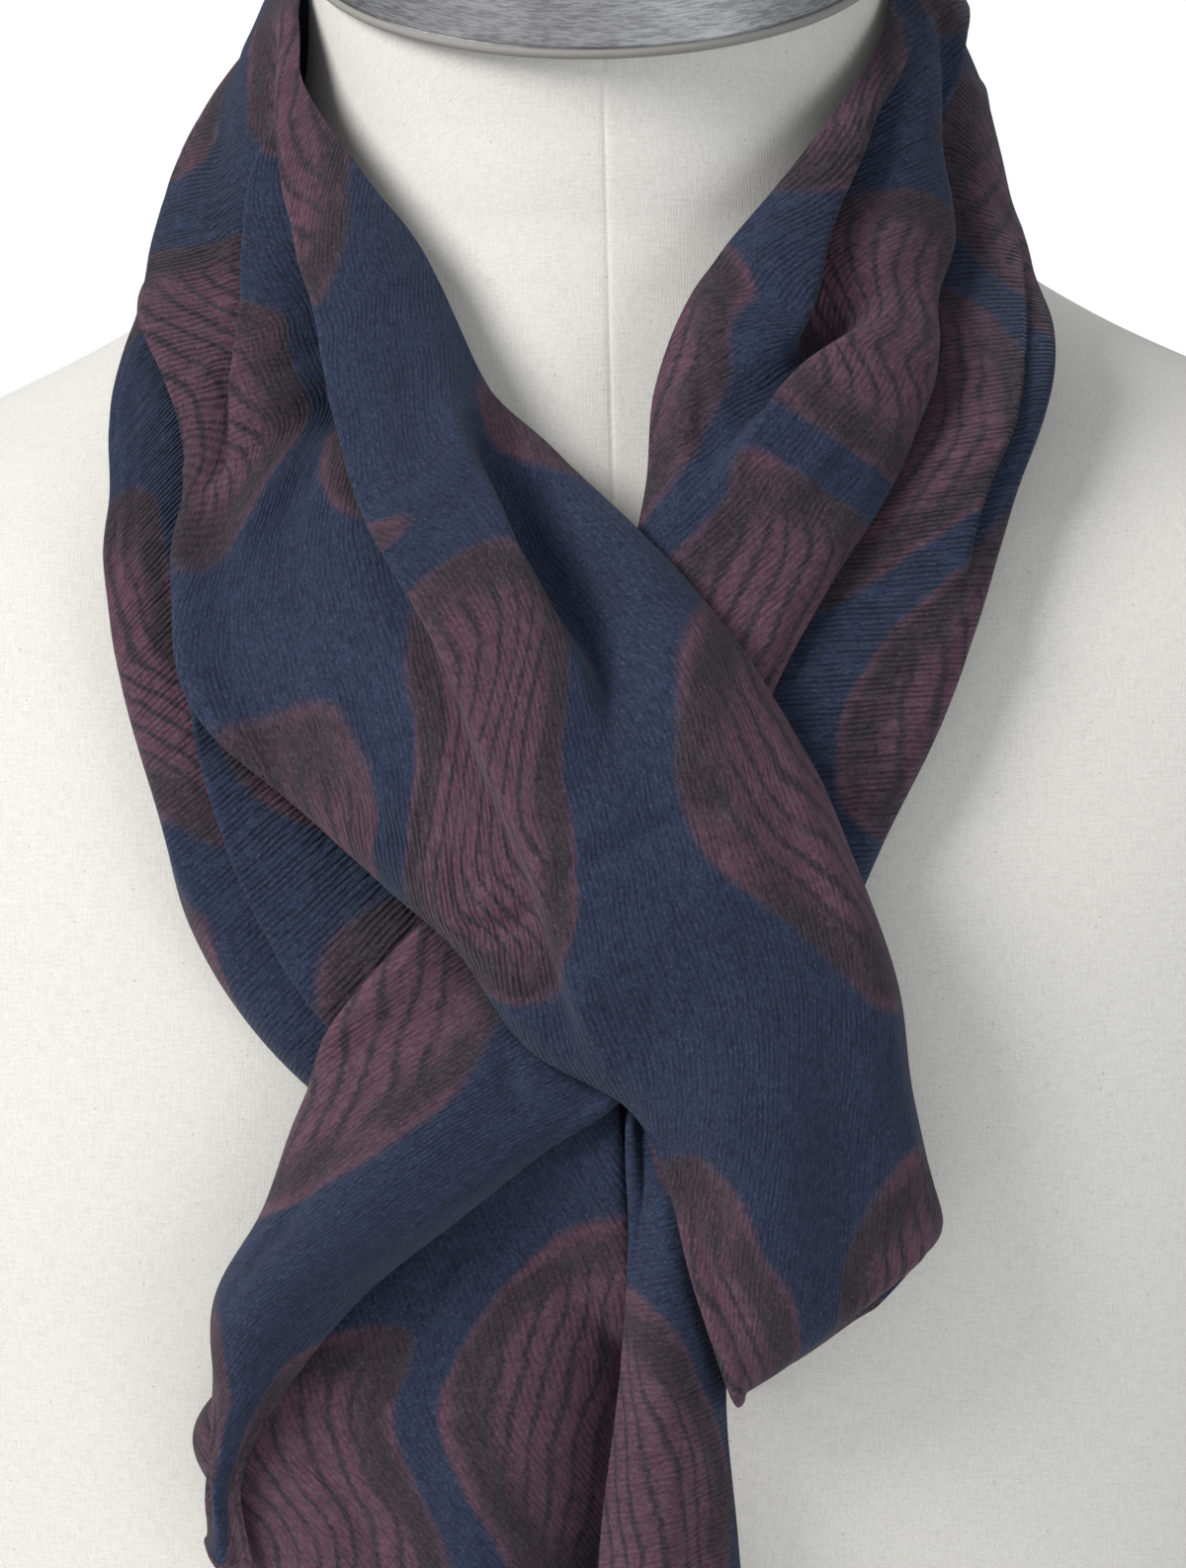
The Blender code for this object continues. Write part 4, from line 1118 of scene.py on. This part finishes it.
def make_cap_piece(settings):
    """The metal cap: a profile of rolled rim, brushed side and low dome, turned by the node group."""
    radius, side, dome = settings.cap_radius, settings.cap_side, settings.cap_dome
    profile = [(0.0, 0.0), *((radius + out, up) for out, up in CAP_RIM)]
    profile += [(radius - CAP_EDGE_IN, CAP_RIM_TOP + (side - 2 * CAP_RIM_TOP) * k / CAP_SIDE_STEPS)
                for k in range(1, CAP_SIDE_STEPS + 1)]
    for degrees in range(0, 91, 9):
        turn = math.radians(degrees)
        profile.append(((radius - 0.0026) * math.cos(turn) + 0.002 * (degrees < 90),
                        side - CAP_EDGE + (dome + CAP_EDGE) * math.sin(turn)))
    mesh = bpy.data.meshes.new("neck_cap_metal")
    mesh.from_pydata([(x - radius, -y, 0) for x, y in profile],
                     [(k, k + 1) for k in range(len(profile) - 1)], [])
    obj = link_object("neck_cap_metal", mesh)
    turned_profile().shape(obj, {"Radius": radius, "Steps": CAP_STEPS, "Material": make_metal(settings)})
    mesh = obj.data
    work = bmesh.new()
    work.from_mesh(mesh)
    bmesh.ops.remove_doubles(work, verts=work.verts, dist=0.00001)
    bmesh.ops.recalc_face_normals(work, faces=work.faces)
    layer = work.loops.layers.uv.new("weave")
    for face in work.faces:
        face.smooth = True
        centre = face.calc_center_median()
        middle = math.atan2(centre.x, -centre.y)
        for loop in face.loops:
            spot = loop.vert.co
            angle = math.atan2(spot.x, -spot.y)
            angle += 2 * math.pi * round((middle - angle) / (2 * math.pi))
            loop[layer].uv = (angle * radius, spot.z + radius - math.hypot(spot.x, spot.y))
    tilt = Matrix.Rotation(math.radians(NECK_TILT), 4, "X")
    seat = Vector((0, NECK_TOP_SHIFT * MM, NECK_TOP * MM)) + tilt @ Vector((0, 0, CAP_SEAT_GAP))
    bmesh.ops.transform(work, matrix=Matrix.Translation(seat) @ tilt, verts=work.verts)
    work.to_mesh(mesh)
    work.free()
    mesh.set_sharp_from_angle(angle=math.radians(55))
    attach(obj, BODY)
    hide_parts("neck_cap")
    return obj


# ---------------------------------------------------------------- the cloth
def columns_of(stations, rows):
    """Every column of the station table at the given rows."""
    at_nape = abs(stations[0].in_angle) == 180
    result = {}
    for name in Station._fields:
        values = [getattr(station, name) for station in stations]
        mirrored = at_nape and not name.endswith("angle")
        first = values[1] if mirrored else 2 * values[0] - values[1]
        result[name] = through(values, rows, first)
    return result


def rows_by_length(stretch, all_gathers):
    """Rows along the cloth, closer where it is gathered, and their distance from its start in mm."""
    fine = np.linspace(0, len(stretch.stations) - 1, FINE_ROWS)
    here = columns_of(stretch.stations, fine)
    bearing = np.radians((here["in_angle"] + here["out_angle"]) / 2)
    height = (here["in_height"] + here["out_height"]) / 2
    lift = (here["in_lift"] + here["out_lift"]) / 2
    path = to_points(bearing, height, form_radius(bearing, height) + lift)
    steps = np.linalg.norm(np.diff(path, axis=0), axis=1)
    run = np.r_[0, np.cumsum(steps)]
    closeness = np.ones(len(steps))
    for gathers in all_gathers:
        inside = (fine[1:] > gathers.points[0][0]) & (fine[1:] < gathers.points[-1][0])
        closeness[inside] = GATHER_CLOSENESS
    spaced = np.r_[0, np.cumsum(steps * closeness)]
    rows = np.interp(np.linspace(0, spaced[-1], stretch.along + 1), spaced, fine)
    return rows, np.interp(rows, fine, run)


def guide_line(share, fold, rows):
    """Where a guided column lies: on its fold along the fold, and at its own share away from it."""
    place, _ = along_fold(fold, rows)
    away = np.maximum(fold.points[0][0] - rows, rows - fold.points[-1][0])
    return share + (place - share) * ease(1 - away / GUIDE_REACH)


def places_across(stretch, rows, width_here):
    """Places across each row, closer together at the edges and at the folds."""
    fine = np.linspace(0, 1, FINE_PLACES)
    grid = np.empty((len(rows), stretch.across + 1))
    bends = [along_fold(fold, rows) for fold in stretch.folds]
    guides = [guide_line(share, stretch.folds[number], rows) for share, number in stretch.guides]
    counts = [round(share * stretch.across) for share in (0.0, *(share for share, _ in stretch.guides), 1.0)]
    for j, width in enumerate(width_here):
        density = (1 + EDGE_CLOSENESS * np.exp(-fine * width / EDGE_REACH)
                   + EDGE_CLOSENESS * np.exp(-(1 - fine) * width / EDGE_REACH))
        for (place, rise), fold in zip(bends, stretch.folds):
            share = abs(rise[j]) / max(abs(point[2]) for point in fold.points)
            density += FOLD_CLOSENESS * share * np.exp(-((fine - place[j]) * width / FOLD_REACH) ** 2)
        total = np.r_[0, np.cumsum(density[1:] + density[:-1])]
        stops = np.interp([0.0, *(line[j] for line in guides), 1.0], fine, total)
        for first, last, low, high in zip(counts, counts[1:], stops, stops[1:]):
            grid[j, first:last + 1] = np.interp(np.linspace(low, high, last - first + 1), total, fine)
    return grid


Cloth = namedtuple("Cloth", "bearing height radius length gathered crosswise hidden")


def loft(node):
    """The middle surface of a stretch: its places in space (mm and radians) and on the cloth."""
    stretch, all_gathers = STRETCHES[node], GATHERS.get(node, [])
    rows, length_along = rows_by_length(stretch, all_gathers)
    here = {name: value[:, None] for name, value in columns_of(stretch.stations, rows).items()}
    for name in ("in_angle", "out_angle"):
        here[name] = np.radians(here[name])

    def edge(side):
        bearing, height, lift = (here[side + name] for name in ("_angle", "_height", "_lift"))
        return to_points(bearing, height, form_radius(bearing, height) + lift)

    width = np.maximum(np.linalg.norm(edge("out") - edge("in"), axis=-1)[:, 0], LEAST_WIDTH)
    across = places_across(stretch, rows, width)
    width_here, row, length = (np.repeat(column[:, None], across.shape[1], 1)
                               for column in (width, rows, length_along))

    def rise_along(crease):
        return crease_rise(crease, rows, length_along, row, across, width_here, length)

    def strongest(lines):
        return np.maximum.reduce([np.zeros_like(across), *(rise_along(line) for line in lines)])

    # folds, gathers, creases and ripples
    rng = random.Random(stretch.seed)
    moved = np.zeros_like(across)
    lift = np.zeros_like(across)
    for fold in stretch.folds:
        rise, lapped = fold_shape(fold, row, across, width_here)
        lift += rise
        moved += lapped
    for gathers in all_gathers:
        lift += gather_rise(gathers, row, across, width_here, length, rng)
    for crease in stretch.creases:
        lift += rise_along(crease)
    lift += ripples(stretch.ripples, row, across, width_here, length, rng)
    from_edge = np.minimum(across, 1 - across) * width_here
    lift -= EDGE_ROLL * np.maximum(0.0, 1 - from_edge / EDGE_ROLL_WIDTH) ** 2
    moved *= ease(from_edge / FREE_EDGE)

    # lay them on the form, between the two long edges
    placed = across + moved / width_here

    def between(name):
        return here["in_" + name] + (here["out_" + name] - here["in_" + name]) * placed

    lift += between("lift")
    lift += here["crown"] * 4 * placed * (1 - placed)
    bearing, height = between("angle"), between("height")
    if stretch.hemmed:
        near_hem = ease(1 - (length_along[-1] - length) / HEM_WAVE_REACH)
        height += HEM_WAVE * near_hem * np.sin(across * HEM_WAVE_TURN + stretch.seed)
    return Cloth(bearing, height, form_radius(bearing, height) + lift, length,
                 strongest(RIBBED.get(node, [])), strongest(CROSS_RIBBED.get(node, [])),
                 hidden_cloth(stretch.folds, row, across, width_here))


def rolled_hem(name):
    """Node group that rolls a hem along an edge and sews slanting stitches over it."""
    group = Group(name, {"Roll radius": "Float", "Stitch pitch": "Float", "Stitch length": "Float",
                         "Thread radius": "Float", "Slant": "Float", "Seed": "Int", "Material": "Material"})
    start = group.start
    edge = group.make("GeometryNodeMeshToCurve", {"Mesh": start["Geometry"]})
    profile = group.make("GeometryNodeCurvePrimitiveCircle",
                         {"Resolution": 10, "Radius": start["Roll radius"]})
    roll = group.make("GeometryNodeCurveToMesh",
                      {"Curve": edge, "Profile Curve": profile, "Fill Caps": True})
    spaced = group.make("GeometryNodeResampleCurve", {"Curve": edge, "Length": start["Stitch pitch"]},
                        mode="LENGTH")
    stitch = group.make("GeometryNodeMeshUVSphere", {"Segments": 8, "Rings": 6})

    # each stitch stands along the edge, then leans over it by an uneven slant
    tangent = group.make("GeometryNodeInputTangent", {})
    along = group.make("FunctionNodeAlignRotationToVector", {"Vector": tangent}, axis="Z")
    uneven = group.make("FunctionNodeRandomValue", {2: 0.8, 3: 1.2, "Seed": start["Seed"]}, 1,
                        data_type="FLOAT")
    lean = group.make("ShaderNodeCombineXYZ", {"X": group.times(start["Slant"], uneven)})
    lean = group.make("FunctionNodeEulerToRotation", {0: lean})
    turned = group.make("FunctionNodeRotateRotation", {"Rotation": along, "Rotate By": lean},
                        rotation_space="LOCAL")
    reach = group.plus(start["Roll radius"], start["Thread radius"])
    size = group.make("ShaderNodeCombineXYZ",
                      {"X": reach, "Y": start["Thread radius"], "Z": start["Stitch length"]})
    sewn = group.make("GeometryNodeInstanceOnPoints",
                      {"Points": spaced, "Instance": stitch, "Rotation": turned, "Scale": size})
    both = group.add("GeometryNodeJoinGeometry")
    for shape in (roll, sewn):
        group.feed(both.inputs[0], shape)
    group.close(both.outputs[0])
    return group


def make_hem(name, edge_points, settings):
    """The rolled hem at a short end of the scarf, with its stitches."""
    mesh = bpy.data.meshes.new(name)
    mesh.from_pydata((edge_points * MM).tolist(), [(k, k + 1) for k in range(len(edge_points) - 1)], [])
    obj = link_object(name, mesh)
    thread = bpy.data.materials.get("hem_thread") or make_hem_thread(settings)
    rolled_hem(name + "_rule").shape(obj, {
        "Roll radius": settings.hem_radius, "Stitch pitch": settings.stitch_pitch,
        "Stitch length": settings.stitch_length, "Thread radius": settings.thread_radius,
        "Slant": settings.stitch_slant, "Seed": STITCH_SEED, "Material": thread})
    obj.data.shade_smooth()
    obj.data.set_sharp_from_angle(angle=math.radians(60))
    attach(obj, BODY)
    return obj


def make_stretch(node, layers, settings):
    """One stretch of the scarf, clear of what it lies on, with its print and weave laid on it."""
    thickness = settings.thickness
    stretch = STRETCHES[node]
    cloth = loft(node)
    radius = cloth.radius + lift_clear(cloth.bearing, cloth.height, cloth.radius, layers, thickness / MM / 2)
    points = to_points(cloth.bearing, cloth.height, radius)

    # distance across each row from its middle; the print half follows it and half stays even
    side_steps = np.linalg.norm(np.diff(points, axis=1), axis=-1)
    side_run = np.concatenate([np.zeros((len(points), 1)), np.cumsum(side_steps, axis=1)], axis=1)
    side_run -= side_run[:, -1:] / 2
    flat_width = float(np.median(side_run[:, -1]) * 2)
    even = side_run / side_run[:, -1:] * flat_width / 2
    start_x, start_y = stretch.print_start
    run = cloth.length * stretch.print_way
    printed = np.stack([0.5 * side_run + 0.5 * even + cloth.hidden + start_x, run + start_y], axis=-1)
    turn = math.radians(stretch.weave_angle)
    woven = np.stack([side_run * math.cos(turn) - run * math.sin(turn),
                      side_run * math.sin(turn) + run * math.cos(turn)], axis=-1)
    mesh = grid_mesh(node + "_cloth", points, {"print": printed, "weave": woven})
    for label in ("gathered", "crosswise"):
        attribute = mesh.attributes.new(label, "FLOAT", "POINT")
        attribute.data.foreach_set("value", getattr(cloth, label).reshape(-1).astype(np.float32))
    mesh.materials.append(bpy.data.materials.get("wool_twill") or make_wool(settings))
    obj = link_object(node + "_cloth", mesh)
    if mesh.polygons[len(mesh.polygons) // 2].normal.dot(Vector(points[len(points) // 2, 5])) < 0:
        mesh.flip_normals()
    wall = obj.modifiers.new("wall", "SOLIDIFY")
    wall.thickness = thickness
    wall.offset = 0.0
    settle(obj)
    obj.data.set_sharp_from_angle(angle=math.radians(75))
    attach(obj, BODY)
    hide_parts(node)
    hems = [make_hem(node + "_hem", points[-1], settings)] if stretch.hemmed else []
    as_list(stretch.rests_on)
    return obj


def layers_under(*nodes):
    """The surfaces that the next stretch is kept clear of."""
    names = ["linen_form", "neck_cap_metal", *(node + "_cloth" for node in nodes)]
    return [skin_of(bpy.data.objects[name]) for name in names]


# ---------------------------------------------------------------- the stage
WHITE_SKY = 1.05            # what the camera sees of the surroundings
FLOOR_STEPS = 96
SENSOR = 36.0               # mm
AIM = (-0.0055, -0.060, 0.495)

# Lamps: name, place, aim, size, colour, and the setting that holds the power.
LAMPS = (
    ("key", (-1.75, -1.25, 1.85), (0, 0, 0.5), 1.25, (1.0, 0.985, 0.96), "key_power"),
    ("fill", (1.3, -1.6, 0.40), (0, 0, 0.45), 1.2, (0.95, 0.97, 1.0), "fill_power"),
    ("rim", (0.4, 1.6, 1.6), (0, 0, 0.55), 1.2, (1.0, 1.0, 1.0), "fill_power"),
)


def add_floor(settings):
    """A round pale floor."""
    bpy.ops.mesh.primitive_circle_add(vertices=FLOOR_STEPS, radius=settings.floor_radius, fill_type="NGON",
                                      location=(0, 0, 0))
    floor = bpy.context.active_object
    floor.name = "floor"
    nodes = Nodes("pale_floor")
    colour = tuple(settings.floor_colour)
    grain = nodes.noise(nodes.on_object(), 1 / 30.0, 3.0)
    shade = nodes.mix(grain, tuple(c * 0.97 for c in colour), colour)
    floor.data.materials.append(nodes.finish({"Base Color": shade, "Roughness": 0.8}))


def add_lamps(settings):
    """Large soft lamps."""
    for name, place, aim, size, colour, power in LAMPS:
        light = bpy.data.lights.new(name, "AREA")
        light.shape = "DISK"
        light.size = size
        light.energy = getattr(settings, power)
        light.color = colour
        lamp = link_object(name, light)
        lamp.location = place
        lamp.rotation_euler = (Vector(aim) - Vector(place)).to_track_quat("-Z", "Y").to_euler()


def add_world(strength):
    """Pale surroundings: white to the camera, softer as light."""
    world = bpy.data.worlds.new("pale_surroundings")
    bpy.context.scene.world = world
    world.use_nodes = True
    tree = world.node_tree
    background = tree.nodes["Background"]
    seen = tree.nodes.new("ShaderNodeBackground")
    for node, colour, power in ((background, (0.96, 0.98, 1.0, 1.0), strength),
                                (seen, (1.0, 1.0, 1.0, 1.0), WHITE_SKY)):
        node.inputs["Color"].default_value = colour
        node.inputs["Strength"].default_value = power
    path = tree.nodes.new("ShaderNodeLightPath")
    mixed = tree.nodes.new("ShaderNodeMixShader")
    for output, socket in ((path.outputs["Is Camera Ray"], mixed.inputs[0]),
                           (background.outputs[0], mixed.inputs[1]), (seen.outputs[0], mixed.inputs[2]),
                           (mixed.outputs[0], tree.nodes["World Output"].inputs["Surface"])):
        tree.links.new(output, socket)


def add_camera(settings):
    """The camera at the photo's own angle."""
    forward = Vector((0, math.cos(settings.elevation), -math.sin(settings.elevation)))
    right = Vector((1, 0, 0))
    up = right.cross(forward)
    tilt_right = right * math.cos(settings.roll) - up * math.sin(settings.roll)
    tilt_up = right * math.sin(settings.roll) + up * math.cos(settings.roll)
    camera = bpy.data.cameras.new("camera")
    camera.sensor_fit = "VERTICAL"
    camera.sensor_height = SENSOR
    camera.lens = SENSOR * settings.distance / settings.view_height
    camera.clip_end = 50.0
    obj = link_object("camera", camera)
    turn = Matrix((tilt_right, tilt_up, -forward)).transposed()
    obj.matrix_world = Matrix.Translation(Vector(AIM) - forward * settings.distance) @ turn.to_4x4()
    bpy.context.scene.camera = obj


# ---------------------------------------------------------------- operators
class SCARF_OT_linen_form(bpy.types.Operator):
    """Build the linen torso and neck"""
    bl_idname = "scarf.linen_form"
    bl_label = "Linen Form"

    def execute(self, context):
        make_form_piece(context.scene.scarf_form)
        return {"FINISHED"}


class SCARF_OT_neck_cap(bpy.types.Operator):
    """Build the brushed metal cap on the neck"""
    bl_idname = "scarf.neck_cap"
    bl_label = "Neck Cap"

    def execute(self, context):
        make_cap_piece(context.scene.scarf_form)
        return {"FINISHED"}


class SCARF_OT_loop_back(bpy.types.Operator):
    """Build the rear layer of the loop"""
    bl_idname = "scarf.loop_back"
    bl_label = "Loop, Rear Layer"

    def execute(self, context):
        make_stretch("loop_back", layers_under(), context.scene.scarf_wool)
        return {"FINISHED"}


class SCARF_OT_strands(bpy.types.Operator):
    """Build the left tail and the two strands that pass through the loop"""
    bl_idname = "scarf.strands"
    bl_label = "Strands and Tails"

    def execute(self, context):
        laid = ["loop_back"]
        for node in ("left_tail", "strand_outer", "strand_inner"):
            make_stretch(node, layers_under(*laid), context.scene.scarf_wool)
            laid.append(node)
        return {"FINISHED"}


class SCARF_OT_loop_front(bpy.types.Operator):
    """Build the front layer of the loop"""
    bl_idname = "scarf.loop_front"
    bl_label = "Loop, Front Layer"

    def execute(self, context):
        laid = layers_under("loop_back", "left_tail", "strand_outer", "strand_inner")
        make_stretch("loop_front", laid, context.scene.scarf_wool)
        return {"FINISHED"}


class SCARF_OT_stage(bpy.types.Operator):
    """Set up the floor, the lights and the camera"""
    bl_idname = "scarf.stage"
    bl_label = "Stage"

    def execute(self, context):
        settings = context.scene.scarf_stage
        add_floor(settings)
        add_world(settings.sky)
        add_lamps(settings)
        add_camera(settings)
        context.scene.view_settings.view_transform = "Standard"
        return {"FINISHED"}


class SCARF_PT_panel(bpy.types.Panel):
    """Lists the build steps and their sizes"""
    bl_idname = "SCARF_PT_panel"
    bl_label = "Wool Scarf"
    bl_space_type = "VIEW_3D"
    bl_region_type = "UI"
    bl_category = "Scarf"

    def draw(self, context):
        for step in BUILD_STEPS:
            self.layout.operator(step.bl_idname)
        for group in (getattr(context.scene, name) for name in SETTINGS):
            box = self.layout.box()
            for name in group.__annotations__:
                box.prop(group, name)


BUILD_STEPS = (SCARF_OT_linen_form, SCARF_OT_neck_cap, SCARF_OT_loop_back, SCARF_OT_strands,
               SCARF_OT_loop_front, SCARF_OT_stage)
SETTINGS = {"scarf_form": FormSettings, "scarf_wool": WoolSettings, "scarf_stage": StageSettings}


def register():
    for group in SETTINGS.values():
        bpy.utils.register_class(group)
    for name, group in SETTINGS.items():
        setattr(bpy.types.Scene, name, PointerProperty(type=group))
    for step in (*BUILD_STEPS, SCARF_PT_panel):
        bpy.utils.register_class(step)


def unregister():
    for step in (SCARF_PT_panel, *reversed(BUILD_STEPS)):
        bpy.utils.unregister_class(step)
    for name, group in SETTINGS.items():
        delattr(bpy.types.Scene, name)
        bpy.utils.unregister_class(group)


def main():
    register()
    for step in BUILD_STEPS:
        group, name = step.bl_idname.split(".")
        getattr(getattr(bpy.ops, group), name)()


if __name__ == "__main__":
    main()
